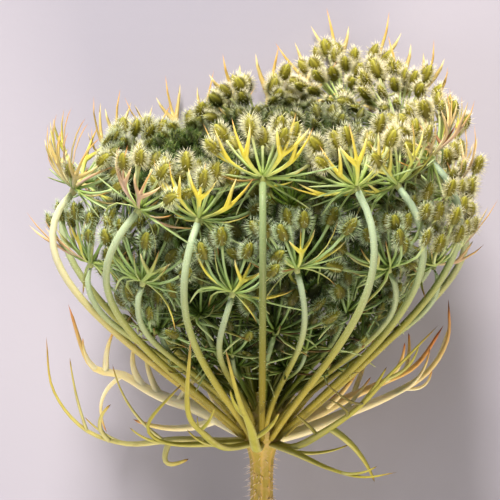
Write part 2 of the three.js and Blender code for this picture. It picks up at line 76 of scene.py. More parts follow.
# What the runs of random numbers start from: the first three count on from here.
UMBELLET_SEED = 1000
BRACT_SEED = 2000
DOWN_SEED = 3000
HAIR_SEED = 7


# ---- Small helpers ----


def colour(code: str) -> Colour:
    """Gives a display colour as the linear colour that a shader takes.

    Args:
        code: Six hexadecimal digits.

    Returns:
        The linear red, green, blue and an alpha of 1.
    """
    parts = [int(code[i:i + 2], 16) / 255 for i in (0, 2, 4)]
    linear = [p / 12.92 if p <= 0.04045 else ((p + 0.055) / 1.055) ** 2.4 for p in parts]
    return (linear[0], linear[1], linear[2], 1.0)


def chance(seed: float) -> float:
    """A repeatable number from 0 to 1 for a seed."""
    value = math.sin(seed * 12.9898) * 43758.5453
    return value - math.floor(value)


def unit(vector: np.ndarray) -> np.ndarray:
    """The vectors, each made one long."""
    return vector / np.linalg.norm(vector, axis=-1, keepdims=True)


def drawn(rng: np.random.Generator, spread: Pair) -> float:
    """A random number: the least that a pair gives, and some of what its second adds."""
    return spread[0] + spread[1] * rng.random()


def nearest(points: Line, place: Vec) -> float:
    """How far the nearest of the points is from a place."""
    return float(np.linalg.norm(points - place, axis=1).min())


def smoothstep(value: Values, low: float, high: float) -> Values:
    """A smooth rise from 0 at low to 1 at high."""
    part = np.clip((value - low) / (high - low), 0, 1)
    return part * part * (3 - 2 * part)


def around(azimuth: Values, radius: Values, height: Values) -> np.ndarray:
    """The plant's point at an azimuth in radians, a distance from its axis and a height."""
    return np.stack(np.broadcast_arrays(radius * np.sin(azimuth), -radius * np.cos(azimuth), height), -1)


def half_turn(angle: float) -> float:
    """An angle brought into half a turn either way."""
    return math.atan2(math.sin(angle), math.cos(angle))


def columns(points: Line, sides: int) -> np.ndarray:
    """Which column of a turned shape each point stands in, from -sides / 2 to sides / 2."""
    return np.round(np.arctan2(points[:, 1], points[:, 0]) / (TURN / sides)).astype(int)


def added(name: str, data: bpy.types.ID) -> bpy.types.Object:
    """An object that is added to the scene at the origin, with a mesh, a light or a camera."""
    made = bpy.data.objects.new(name, data)
    bpy.context.scene.collection.objects.link(made)
    return made


def seat(piece: bpy.types.Object, slot: str, node: str = "") -> None:
    """Sets a piece on the flower's one body, and reports it.

    Args:
        piece: The piece.
        slot: Not used.
        node: The node that it stands in place of, if there is one.
    """
    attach(piece, "root")
    if node:
        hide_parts(node)
    log.info("%s: %d triangles", piece.name, len(piece.data.loops) - 2 * len(piece.data.polygons))


def bezier(controls: Line, parts: Line) -> Line:
    """Points of a cubic curve.

    Args:
        controls: Its four control points.
        parts: Places along it, from 0 to 1.

    Returns:
        One point for each place.
    """
    t = parts[:, None]
    a, b, c, d = controls
    return a * (1 - t) ** 3 + 3 * b * t * (1 - t) ** 2 + 3 * c * t * t * (1 - t) + d * t ** 3


def spray(root: Vec, leave: Vec, arrive: Vec, length: float, steps: int) -> Line:
    """A curved line from a root.

    Args:
        root: Where it starts.
        leave: Its direction at the root.
        arrive: Its direction at the tip.
        length: Its length.
        steps: How many stretches it has.

    Returns:
        The points, one more than the stretches.
    """
    t = np.linspace(0, 1, steps + 1)[:, None]
    return root + length * (leave * (t - t * t / 2) + arrive * t * t / 2)


@dataclass(frozen=True)
class LaidFrame:
    """The plant's own frame, laid down on the surface that the flower lies on."""

    tilt: float = 14 * DEGREE
    stem_length: float = 70.0
    stem_radius: float = 1.65
    forward: float = 5.35  # of the ray base from the middle of the laid flower
    softness: float = 0.9  # how gently a limb bends clear of the surface

    @property
    def base_height(self) -> float:
        """The height of the ray base over the surface."""
        return self.stem_radius * math.cos(self.tilt) + self.stem_length * math.sin(self.tilt)

    @property
    def normal(self) -> Vec:
        """The surface's upward direction, in the plant's frame."""
        return np.array([0.0, -math.cos(self.tilt), math.sin(self.tilt)])

    def height(self, points: Line) -> Values:
        """How high over the surface each point is."""
        return points @ self.normal + self.base_height

    def bent_clear(self, line: Line, least: float) -> Line:
        """Bends points clear of the surface where they would come lower than least above it.

        Args:
            line: The points.
            least: The height.

        Returns:
            The bent points.
        """
        height = self.height(line)
        rise = (height - least) / self.softness
        bent = least + self.softness * np.logaddexp(0, rise)
        return line + (bent - height)[..., None] * self.normal

    def row(self, points: Line) -> Line:
        """The points in metres in the part's frame, none of them under the surface.

        Args:
            points: In the plant's frame.

        Returns:
            The same points in the part's frame.
        """
        x, y, z = np.moveaxis(points, -1, 0)
        sine, cosine = math.sin(self.tilt), math.cos(self.tilt)
        back = y * sine + z * cosine + self.forward
        height = -y * cosine + z * sine + self.base_height
        return np.stack([x, back, np.maximum(height, 0)], -1) * METRE


LAID = LaidFrame()


@dataclass(frozen=True)
class Nest:
    """The room inside the closed head, where painted shade makes the colours greener and darker than outside.
    """

    heights: Row = (0, 5, 10, 20, 30, 45)
    radii: Row = (3, 11, 17, 24.5, 27.5, 27.5)
    # The painted shade is measured down from this height, as well as in from the flank.
    top: float = 50.5
    shallow: float = 2.6  # how far in the painted shade starts
    deep: float = 7.6  # and is full

    def room(self, points: Line) -> np.ndarray:
        """How far inside the nest's flank each point is."""
        flank = np.interp(points[:, 2], self.heights, self.radii)
        return flank - np.linalg.norm(points[:, :2], axis=1)

    def depth(self, points: Line) -> np.ndarray:
        """How deep inside each point is, from 0 outside to 1 where the painted shade is full."""
        room = np.minimum(self.room(points), self.top - points[:, 2])
        return smoothstep(room, self.shallow, self.deep)


NEST = Nest()


# ---- Patterns: a shape modelled once and copied ----


@dataclass
class Pattern:
    """A modelled shape as arrays, with what its finishes read at each point and face.

    A limb's pattern runs up +Z from 0 to 1 and has its section in millimetres.
    """

    points: np.ndarray  # (n, 3)
    corners: np.ndarray  # the points of every face, one face after another
    sizes: np.ndarray  # corners in each face
    along: np.ndarray  # 0 at the root and 1 at the tip
    edge: np.ndarray  # 0 in the middle and 1 on a ridge or margin
    slots: np.ndarray  # which finish each face takes

    def copy(self, points: Line, **changes: np.ndarray) -> Pattern:
        """The same faces on other points."""
        kept = {"along": self.along, "edge": self.edge, "slots": self.slots, **changes}
        return Pattern(points, self.corners, self.sizes, **kept)

    @staticmethod
    def joined(patterns: list[Pattern]) -> Pattern:
        """Several patterns as one.

        Args:
            patterns: The patterns, in order.

        Returns:
            The whole.
        """
        starts = np.cumsum([0] + [len(p.points) for p in patterns[:-1]])
        corners = np.concatenate([p.corners + s for p, s in zip(patterns, starts)])
        same = ("points", "sizes", "along", "edge", "slots")
        whole = {name: np.concatenate([getattr(p, name) for p in patterns]) for name in same}
        return Pattern(corners=corners, **whole)

    def placed(self, place: Vec, course: Vec, side: Vec, scale: float = 1.0) -> Pattern:
        """A copy that stands at a place, with its +Z along a course and its +X near a side.

        Args:
            place: Where its origin stands.
            course: The direction of its +Z.
            side: What its +X keeps nearest to.
            scale: Its size.

        Returns:
            The copy.
        """
        x = unit(side - (side @ course) * course)
        axes = np.stack([x, np.cross(course, x), course])
        return self.copy(place + scale * (self.points @ axes))

    def bent(self, line: Line, side: Vec, width: float = 1.0) -> Pattern:
        """A copy of a limb, bent along a line.

        Args:
            line: The line's points.
            side: The direction that the limb's +X keeps nearest to.
            width: How much wider the section gets.

        Returns:
            The bent limb.
        """
        lengths = np.concatenate([[0], np.cumsum(np.linalg.norm(np.diff(line, axis=0), axis=1))])
        tangents = unit(np.gradient(line, axis=0))
        sides = np.empty_like(line)
        for i, tangent in enumerate(tangents):
            side = unit(side - (side @ tangent) * tangent)
            sides[i] = side
        tops = np.cross(tangents, sides)
        parts = lengths / lengths[-1]
        z = np.clip(self.points[:, 2], 0, 1)

        def at(values: np.ndarray) -> np.ndarray:
            """What the line's values are at the height of each of the limb's points."""
            return np.stack([np.interp(z, parts, values[:, k]) for k in range(3)], -1)

        section = self.points[:, :1] * unit(at(sides)) + self.points[:, 1:2] * unit(at(tops))
        return self.copy(at(line) + width * section)


class Bench:
    """A piece on the bench: a flat ring that operators draw out and shape in edit mode."""

    FLANK = 0.2  # how squarely a flank's face looks aside, at least

    def __init__(self, sides: int, radius: float, flat: float = 1.0) -> None:
        """Lays down the filled ring at the origin, as flat as asked in Y, and opens it for editing.

        Args:
            sides: The corners of the ring.
            radius: Its radius.
            flat: Its size in Y, as part of that in X.
        """
        bpy.ops.object.select_all(action="DESELECT")
        bpy.ops.mesh.primitive_circle_add(vertices=sides, radius=radius, fill_type="NGON")
        self.piece = bpy.context.object
        self.sides, self.radius, self.height = sides, radius, 0.0
        bpy.ops.object.mode_set(mode="EDIT")
        bpy.ops.transform.resize(value=(1, flat, 1), center_override=(0, 0, 0))

    def draw_out(self, height: float, radius: float) -> None:
        """Extrudes the open end up to a height and brings it to a radius.

        Args:
            height: The new height.
            radius: The new radius.
        """
        bpy.ops.mesh.extrude_region_move(TRANSFORM_OT_translate={"value": (0, 0, height - self.height)})
        grown = radius / self.radius
        bpy.ops.transform.resize(value=(grown, grown, 1), center_override=(0, 0, height))
        self.height, self.radius = height, radius

    def turned(self, profile: Profile) -> Bench:
        """Draws the end out through each height and radius, and to a point where the radius is 0.

        Args:
            profile: The heights and radii.

        Returns:
            This bench.
        """
        for height, radius in profile:
            if radius > 0:
                self.draw_out(height, radius)
            else:
                self.draw_out(height, self.radius / 2)
                bpy.ops.mesh.merge(type="CENTER")
        return self

    def pick(self, kind: str, wanted: Callable[..., bool]) -> None:
        """Selects the faces or the points that a test wants, and no others.

        Args:
            kind: FACE, where the test gets each middle and normal, or VERT, where it gets each place.
            wanted: The test.
        """
        bpy.ops.mesh.select_mode(type=kind)
        bpy.ops.mesh.select_all(action="DESELECT")
        shape = bmesh.from_edit_mesh(self.piece.data)
        if kind == "FACE":
            for face in shape.faces:
                face.select_set(wanted(face.calc_center_median(), face.normal))
        else:
            for point in shape.verts:
                point.select_set(wanted(point.co))
            shape.select_flush_mode()
        bmesh.update_edit_mesh(self.piece.data)

    def groove(self, every: int, first: int, depth: float, low: float, high: float) -> None:
        """Draws columns of points in towards the axis, between two heights.

        Args:
            every: One column in so many.
            first: The first of these columns.
            depth: The part of the radius that they lose.
            low: The lowest height.
            high: The highest height.
        """
        step = TURN / self.sides

        def in_column(point: Vector) -> bool:
            """Whether a point stands in one of these columns, between the heights."""
            column = round(math.atan2(point.y, point.x) / step) % self.sides
            return low <= point.z <= high and column % every == first

        self.pick("VERT", in_column)
        bpy.ops.transform.resize(value=(1 - depth, 1 - depth, 1), center_override=(0, 0, 0))

    def shoot(self, side: int, low: float, high: float, way: tuple[Direction, ...]) -> None:
        """Draws a pointed shoot out of one flank.

        Args:
            side: 1 or -1, the flank's direction along X.
            low: Where the flank's faces start.
            high: Where they end.
            way: For each step, how far it goes aside, how far up, and what is left of the section.
        """
        self.pick("FACE", lambda centre, normal: low < centre.z < high and normal.x * side > self.FLANK)
        for aside, rise, left in way:
            bpy.ops.mesh.extrude_region_move(TRANSFORM_OT_translate={"value": (side * aside, 0, rise)})
            chosen = [v.co for v in bmesh.from_edit_mesh(self.piece.data).verts if v.select]
            middle = sum(chosen, Vector()) / len(chosen)
            bpy.ops.transform.resize(value=(left, left, left), center_override=middle)
        bpy.ops.mesh.merge(type="CENTER")

    def done(self, slot: int = 0) -> Pattern:
        """Closes the piece, takes its shape as a pattern, and clears the bench.

        Args:
            slot: The finish of its faces.

        Returns:
            The pattern.
        """
        bpy.ops.mesh.select_all(action="SELECT")
        bpy.ops.mesh.normals_make_consistent(inside=False)
        bpy.ops.object.mode_set(mode="OBJECT")
        mesh = self.piece.data
        points = np.empty(3 * len(mesh.vertices))
        mesh.vertices.foreach_get("co", points)
        points = points.reshape(-1, 3)
        corners = np.empty(len(mesh.loops), np.int32)
        mesh.loops.foreach_get("vertex_index", corners)
        sizes = np.array([len(face.vertices) for face in mesh.polygons], np.int32)
        low, high = points[:, 2].min(), points[:, 2].max()
        widest = np.abs(points[:, 0]).max()
        bpy.data.objects.remove(self.piece)
        return Pattern(
            points=points,
            corners=corners,
            sizes=sizes,
            along=(points[:, 2] - low) / (high - low),
            edge=np.abs(points[:, 0]) / widest,
            slots=np.full(len(sizes), slot, np.int32),
        )


class Sheaf:
    """Copies of patterns gathered into one piece."""

    def __init__(self) -> None:
        """Starts empty."""
        self.parts: list[Pattern] = []
        self.tints: list[np.ndarray] = []

    def add(self, part: Pattern, tint: Tint) -> None:
        """Adds a copy, with the warmth, blush and luck that its finish reads."""
        self.parts.append(part)
        self.tints.append(np.tile(np.float32(tint), (len(part.points), 1)))

    def piece(self, name: str, finishes: list[Material]) -> bpy.types.Object:
        """Makes the piece in the scene, smooth all over.

        Args:
            name: Its name.
            finishes: The materials that the faces' slots count.

        Returns:
            The piece, at the origin.
        """
        whole = Pattern.joined(self.parts)
        mesh = bpy.data.meshes.new(name)
        mesh.vertices.add(len(whole.points))
        mesh.vertices.foreach_set("co", LAID.row(whole.points).astype(np.float32).ravel())
        mesh.loops.add(len(whole.corners))
        mesh.loops.foreach_set("vertex_index", whole.corners.astype(np.int32))
        mesh.polygons.add(len(whole.sizes))
        starts = np.concatenate([[0], np.cumsum(whole.sizes)[:-1]])
        mesh.polygons.foreach_set("loop_start", starts.astype(np.int32))
        mesh.polygons.foreach_set("material_index", whole.slots.astype(np.int32))
        mesh.polygons.foreach_set("use_smooth", np.ones(len(whole.sizes), bool))
        # deep holds the share of painted shade that each point takes inside the nest.
        marks = {"along": whole.along, "edge": whole.edge, "deep": NEST.depth(whole.points)}
        for label, values in marks.items():
            mesh.attributes.new(label, "FLOAT", "POINT").data.foreach_set("value", values.astype(np.float32))
        tint = mesh.attributes.new("tint", "FLOAT_VECTOR", "POINT")
        tint.data.foreach_set("vector", np.concatenate(self.tints).astype(np.float32).ravel())
        mesh.update(calc_edges=True)
        for finish in finishes:
            mesh.materials.append(finish)
        return added(name, mesh)


# ---- Finishes ----


class Dye:
    """One material, put together a node at a time."""

    SHEEN = 0.35
    GLOW_REACH = 0.0006  # in metres
    GLOW_COLOURS = (1.0, 0.8, 0.3)

    def __init__(self, name: str, roughness: float, glow: float = 0.0) -> None:
        """Starts a material.

        Args:
            name: The finish's name.
            roughness: How matt it is.
            glow: How much light passes into the thin tissue, from 0 to 1.
        """
        self.material = bpy.data.materials.new(name)
        self.material.use_nodes = True
        self.tree = self.material.node_tree
        self.shader = self.tree.nodes["Principled BSDF"]
        light = {"Roughness": roughness, "Specular IOR Level": self.SHEEN}
        if glow:
            light |= {"Subsurface Weight": glow, "Subsurface Radius": self.GLOW_COLOURS,
                      "Subsurface Scale": self.GLOW_REACH}
        for name, value in light.items():
            self.shader.inputs[name].default_value = value
        self.place = self.node("ShaderNodeTexCoord").outputs["Object"]

    def node(self, kind: str, inputs: dict[str | int, Feed] | None = None,
             **settings: object) -> bpy.types.Node:
        """Adds a node.

        Args:
            kind: The node's type.
            inputs: What its inputs get, by their names or places.
            settings: Its properties.

        Returns:
            The node.
        """
        made = self.tree.nodes.new(kind)
        for name, value in settings.items():
            setattr(made, name, value)
        for place, value in (inputs or {}).items():
            self.feed(made.inputs[place], value)
        return made

    def read(self, name: str) -> Socket:
        """An attribute of the piece, as a number."""
        return self.node("ShaderNodeAttribute", attribute_name=name).outputs["Fac"]

    def tint(self) -> list[Socket]:
        """The warmth, blush and luck that a copy was given.

        Returns:
            The three numbers.
        """
        source = self.node("ShaderNodeAttribute", attribute_name="tint").outputs["Vector"]
        return list(self.node("ShaderNodeSeparateXYZ", {0: source}).outputs)

    def ramp(self, value: Socket, stops: Stops) -> Socket:
        """A run of colours along a value.

        Args:
            value: What it follows.
            stops: Each place and the colour there.

        Returns:
            The colour.
        """
        made = self.node("ShaderNodeValToRGB", {"Fac": value})
        while len(made.color_ramp.elements) < len(stops):
            made.color_ramp.elements.new(0.5)
        for element, (place, code) in zip(made.color_ramp.elements, stops):
            element.position = place
            element.color = colour(code)
        return made.outputs["Color"]

    def feed(self, socket: Socket, value: Feed) -> None:
        """Links an input to a socket, or sets it to a number or a colour's code.

        Args:
            socket: The input.
            value: What it gets.
        """
        if isinstance(value, Socket):
            self.tree.links.new(value, socket)
        else:
            socket.default_value = colour(value) if isinstance(value, str) else value

    def mix(self, share: Feed, first: Feed, second: Feed, how: str = "MIX") -> Socket:
        """Mixes two colours.

        Args:
            share: How much of the second there is.
            first: A colour or its code.
            second: The other one.
            how: How the second lies on the first.

        Returns:
            The mixed colour.
        """
        made = self.node("ShaderNodeMix", {"Factor": share}, data_type="RGBA", blend_type=how)
        colours = [socket for socket in made.inputs if socket.type == "RGBA"]
        self.feed(colours[0], first)
        self.feed(colours[1], second)
        return next(socket for socket in made.outputs if socket.type == "RGBA")

    def sum(self, how: str, first: Feed, second: Feed) -> Socket:
        """Works out one number from two, held between 0 and 1.

        Args:
            how: The operation.
            first: A number.
            second: The other one.

        Returns:
            The number.
        """
        return self.node("ShaderNodeMath", {0: first, 1: second}, operation=how, use_clamp=True).outputs[0]

    def stretch(self, value: Socket, low: float, high: float) -> Socket:
        """A value stretched so that low gives 0 and high gives 1.

        Args:
            value: The value.
            low: What gives 0.
            high: What gives 1.

        Returns:
            The stretched value.
        """
        ends = {"Value": value, "From Min": low, "From Max": high}
        return self.node("ShaderNodeMapRange", ends, clamp=True).outputs["Result"]

    def grain(self, size: float, detail: float = 3.0) -> Socket:
        """Noise with grains of a size in millimetres.

        Args:
            size: Of the grains.
            detail: How fine the noise goes.

        Returns:
            The noise, from 0 to 1.
        """
        inputs = {"Vector": self.place, "Scale": 1 / (size * METRE), "Detail": detail}
        return self.node("ShaderNodeTexNoise", inputs).outputs["Fac"]

    def relief(self, height: Socket, depth: float) -> None:
        """Roughs the surface by a height, as deep as given in millimetres.

        Args:
            height: The height, from 0 to 1.
            depth: What 1 is, in millimetres.
        """
        made = self.node("ShaderNodeBump", {"Height": height, "Distance": depth * METRE, "Strength": 1.0})
        self.feed(self.shader.inputs["Normal"], made.outputs["Normal"])

    def finish(self, shade: Socket) -> Material:
        """Gives the material its colour."""
        self.feed(self.shader.inputs["Base Color"], shade)
        return self.material


class Cue(Enum):
    """What a coat of colour follows."""

    WARMTH = "warmth"
    BLUSH = "blush"
    LUCK = "luck"
    GRAIN = "grain"  # the finish's own relief
    BLOTCH = "blotch"  # a coarser grain
    EDGE = "edge"  # 0 in the middle and 1 on a ridge or margin
    NEST_PAINTED_SHADE = "deep"  # painted shade: 1 deep in the nest


class Lay(Enum):
    """How a coat of colour lies."""

    OVER = "over"  # it hides the skin where its cue is strong
    UNDER = "under"  # it shows where its cue is weak
    PAINTED_SHADE = "painted_shade"  # painted shade: it darkens the skin where its cue is strong


@dataclass(frozen=True)
class Coat:
    """One colour that lies on the skin of a finish."""

    code: str
    cue: Cue
    strength: float = 1.0
    span: Pair | None = None  # the cue's values where it starts and where it is full
    lay: Lay = Lay.OVER
    fresh: bool = False  # whether it fades where a copy is warm
    blotch: float = 1.0  # size of the blotches in millimetres
    blotch_detail: float = 4.0

    def laid(self, dye: Dye, skin: Socket, cues: dict[Cue, Socket]) -> Socket:
        """Lays this coat on a skin.

        Args:
            dye: The material.
            skin: The colour so far.
            cues: The cues that the finish has at hand; an attribute is read for any other.

        Returns:
            The colour with this coat.
        """
        if self.cue is Cue.BLOTCH:
            share = dye.grain(self.blotch, self.blotch_detail)
        else:
            share = cues[self.cue] if self.cue in cues else dye.read(self.cue.value)
        if self.span:
            share = dye.stretch(share, *self.span)
        if self.strength < 1:
            share = dye.sum("MULTIPLY", share, self.strength)
        if self.fresh:
            share = dye.sum("MULTIPLY", share, dye.sum("SUBTRACT", 1.0, cues[Cue.WARMTH]))
        if self.lay is Lay.UNDER:
            return dye.mix(share, self.code, skin)
        # A painted-shade coat darkens the skin by multiplying it with its colour.
        painted_dark = self.lay is Lay.PAINTED_SHADE
        return dye.mix(share, skin, dye.mix(1.0, skin, self.code, "MULTIPLY") if painted_dark else self.code)


@dataclass(frozen=True)
class Finish:
    """What every finish of the flower has: runs of colour, coats over them, and a fine relief."""

    name: str
    runs: Runs  # from root to tip: the plain one, the warm one and the blushed one
    coats: tuple[Coat, ...] = ()
    roughness: float = 0.5
    glow: float = 0.15  # how much light passes into the thin tissue, from 0 to 1
    grain: float = 0.15  # size and depth of the relief, in millimetres
    depth: float = 0.03
    detail: float = 3.0

    def material(self) -> Material:
        """Makes the material.

        Returns:
            The material.
        """
        dye = Dye(self.name, self.roughness, self.glow)
        warmth, blush, luck = dye.tint()
        along = dye.read("along")
        skin = dye.ramp(along, self.runs[0])
        for share, run in zip((warmth, blush), self.runs[1:]):
            skin = dye.mix(share, skin, dye.ramp(along, run))
        grain = dye.grain(self.grain, self.detail)
        cues = {Cue.WARMTH: warmth, Cue.BLUSH: blush, Cue.LUCK: luck, Cue.GRAIN: grain}
        for coat in self.coats:
            skin = coat.laid(dye, skin, cues)
        dye.relief(grain, self.depth)
        return dye.finish(skin)


@dataclass(frozen=True)
class RayFinish(Finish):
    """Smooth green stalk, olive at its root and pale mint where it meets its star."""

    name: str = "ray rind"
    runs: Runs = (
        ((0.0, "B0A038"), (0.28, "A89E38"), (0.48, "9C9E42"), (0.66, "98AA70"), (0.84, "9CB89C"),
         (1.0, "A2C0AC")),
        ((0.0, "A08E30"), (0.3, "B4A44E"), (0.6, "C8C28C"), (0.85, "DCDCC2"), (1.0, "CEDAB4")),
    )
    coats: tuple[Coat, ...] = (
        Coat("A9A35A", Cue.LUCK, 0.35),
        Coat("E4EBD4", Cue.GRAIN, 0.35, (0.55, 0.75)),
        # Painted shade on the dimmed ray, which reads its blush.
        Coat("CECAA6", Cue.BLUSH, lay=Lay.PAINTED_SHADE),
        # Painted shade deep in the nest.
        Coat("7E9450", Cue.NEST_PAINTED_SHADE, lay=Lay.PAINTED_SHADE),
    )
    grain: float = 0.16
    detail: float = 2.0


@dataclass(frozen=True)
class PedicelFinish(Finish):
    """Thin stalk of a fruit, green at the hub and paler towards the fruit."""

    name: str = "pedicel rind"
    runs: Runs = (
        ((0.0, "9CAE58"), (0.3, "88A862"), (0.75, "98B888"), (1.0, "A4BC80")),
        # A fruit's stalk takes the warm run with its fruit, as a painted lit copy.
        ((0.0, "A8BE64"), (0.4, "B4CC82"), (0.8, "D0DCA6"), (1.0, "D0D496")),
    )
    coats: tuple[Coat, ...] = (
        Coat("6E8A4A", Cue.LUCK, 0.3),
        # Painted shade deep in the nest.
        Coat("7A8A40", Cue.NEST_PAINTED_SHADE, lay=Lay.PAINTED_SHADE),
    )
    grain: float = 0.12
    depth: float = 0.02


@dataclass(frozen=True)
class BracteoleFinish(Finish):
    """Thin strap: green with pale margins, or bright yellow or blushed, with a burnt tip."""

    name: str = "bracteole blade"
    runs: Runs = (
        ((0.0, "98B464"), (0.45, "90B070"), (0.72, "9AA666"), (0.88, "8A6E40"), (1.0, "4C2E20")),
        ((0.0, "B6CC88"), (0.25, "D2DE7C"), (0.5, "ECE250"), (0.75, "EEDE5E"), (0.92, "DCB064"),
         (1.0, "A87450")),
        ((0.0, "C3C08A"), (0.3, "B892A0"), (0.6, "C4A090"), (0.85, "E0AE6C"), (1.0, "C0703C")),
    )
    coats: tuple[Coat, ...] = (
        Coat("E9EBC4", Cue.EDGE, 0.45, (0.45, 1.0)),
        Coat("7E5032", Cue.LUCK, 0.16),
        Coat("8A5A30", Cue.BLOTCH, 0.2, (0.52, 0.72), blotch=0.9),
        # Painted shade deep in the nest.
        Coat("727A34", Cue.NEST_PAINTED_SHADE, lay=Lay.PAINTED_SHADE),
    )
    roughness: float = 0.45
    glow: float = 0.12


@dataclass(frozen=True)
class FruitFinish(Finish):
    """Ribbed olive fruit, darker in its furrows, yellower towards its tip, with a painted highlight along its
    rim.
    """

    name: str = "fruit skin"
    runs: Runs = (
        ((0.0, "5E661A"), (0.5, "6E6E18"), (0.85, "8E942C"), (1.0, "AAB450")),
        # The warm run is a painted lit copy, which fruits at the head's top and right side take.
        ((0.0, "727218"), (0.5, "8C881A"), (0.85, "ACAC34"), (1.0, "C8CC5C")),
    )
    coats: tuple[Coat, ...] = (
        Coat("6E661E", Cue.LUCK, 0.35),
        Coat("37360E", Cue.EDGE, span=(-0.3, 0.6), lay=Lay.UNDER),
        # Painted highlight along the fruit's rim.
        Coat("B8B24E", Cue.EDGE, 0.5, (0.55, 1.0)),
        Coat("ACA048", Cue.GRAIN, 0.3, (0.5, 0.7)),
        # Painted shade deep in the nest.
        Coat("566C34", Cue.NEST_PAINTED_SHADE, lay=Lay.PAINTED_SHADE),
    )
    roughness: float = 0.55
    glow: float = 0.0
    grain: float = 0.18
    depth: float = 0.05


@dataclass(frozen=True)
class BristleFinish(Finish):
    """Pale translucent bristle: its plain run is a painted shaded copy, minty, and its warm run a painted lit
    copy, creamy, taken towards the head's top.
    """

    name: str = "bristle"
    runs: Runs = (
        ((0.0, "7C9458"), (0.3, "A8C898"), (1.0, "CCE4BC")),
        ((0.0, "D8D680"), (0.3, "F8F4C2"), (1.0, "FFFADC")),
    )
    # Painted shade deep in the nest.
    coats: tuple[Coat, ...] = (Coat("486834", Cue.NEST_PAINTED_SHADE, lay=Lay.PAINTED_SHADE),)
    roughness: float = 0.4
    glow: float = 0.3
    grain: float = 0.1
    depth: float = 0.01


@dataclass(frozen=True)
class BractFinish(Finish):
    """Thread-lobed bract: olive gold with dark tips, or pale and papery, the pale run brightened near white
    as painted backlight.
    """

    name: str = "bract blade"
    runs: Runs = (
        ((0.0, "A6AC5C"), (0.3, "AEB04A"), (0.88, "BCB44E"), (0.96, "8A7240"), (1.0, "34281E")),
        # The pale run is near white: partly the papery bract's own colour, partly painted backlight.
        ((0.0, "FCF8E6"), (0.45, "FBF2D8"), (0.75, "EEDCA0"), (0.94, "D49A64"), (1.0, "8A4A34")),
        ((0.0, "DCD09C"), (0.4, "E8CC84"), (0.7, "E8B45A"), (0.92, "DE8448"), (1.0, "A84A34")),
    )
    coats: tuple[Coat, ...] = (
        Coat("E6DEAA", Cue.EDGE, 0.4, (0.4, 1.0)),
        Coat("8C8028", Cue.BLOTCH, 0.35, (0.5, 0.7), fresh=True, blotch=1.6),
        Coat("4E4222", Cue.LUCK, 0.13, fresh=True),
    )
    roughness: float = 0.45
    glow: float = 0.25
    grain: float = 0.2
    depth: float = 0.04


@dataclass(frozen=True)
class StemFinish(Finish):
    """Ribbed stem: olive gold ribs, greener furrows, and pale pith at the cut."""

    name: str = "stem rind"
    runs: Runs = (
        ((0.0, "B09A50"), (0.6, "BE9E4C"), (0.9, "C0A24C"), (0.95, "B8AA58"), (1.0, "A8982E")),
    )
    coats: tuple[Coat, ...] = (
        Coat("A2943E", Cue.EDGE, span=(0.0, 1.0), lay=Lay.UNDER),
        Coat("D8B090", Cue.BLOTCH, 0.4, (0.45, 0.7), blotch=0.7),
        Coat("DDE0B4", Cue.WARMTH),
    )
    depth: float = 0.04


@dataclass(frozen=True)
class HairFinish(Finish):
    """Short stiff hair of the stem, white with a touch of pink."""

    name: str = "stem hair"
    runs: Runs = (((0.0, "D8C090"), (0.3, "F4DCD0"), (1.0, "FFF2EE")),)
    roughness: float = 0.4
    glow: float = 0.3
    grain: float = 0.1
    depth: float = 0.01


# ---- Shapes that repeat ----


class Slot(IntEnum):
    """The finishes of an umbellet, in the order of its material slots."""

    RAY = 0
    PEDICEL = 1
    BRACTEOLE = 2
    FRUIT = 3
    BRISTLE = 4


class Fork(Enum):
    """How many points a bracteole ends in."""

    ONE = 1
    TWO = 2
    THREE = 3


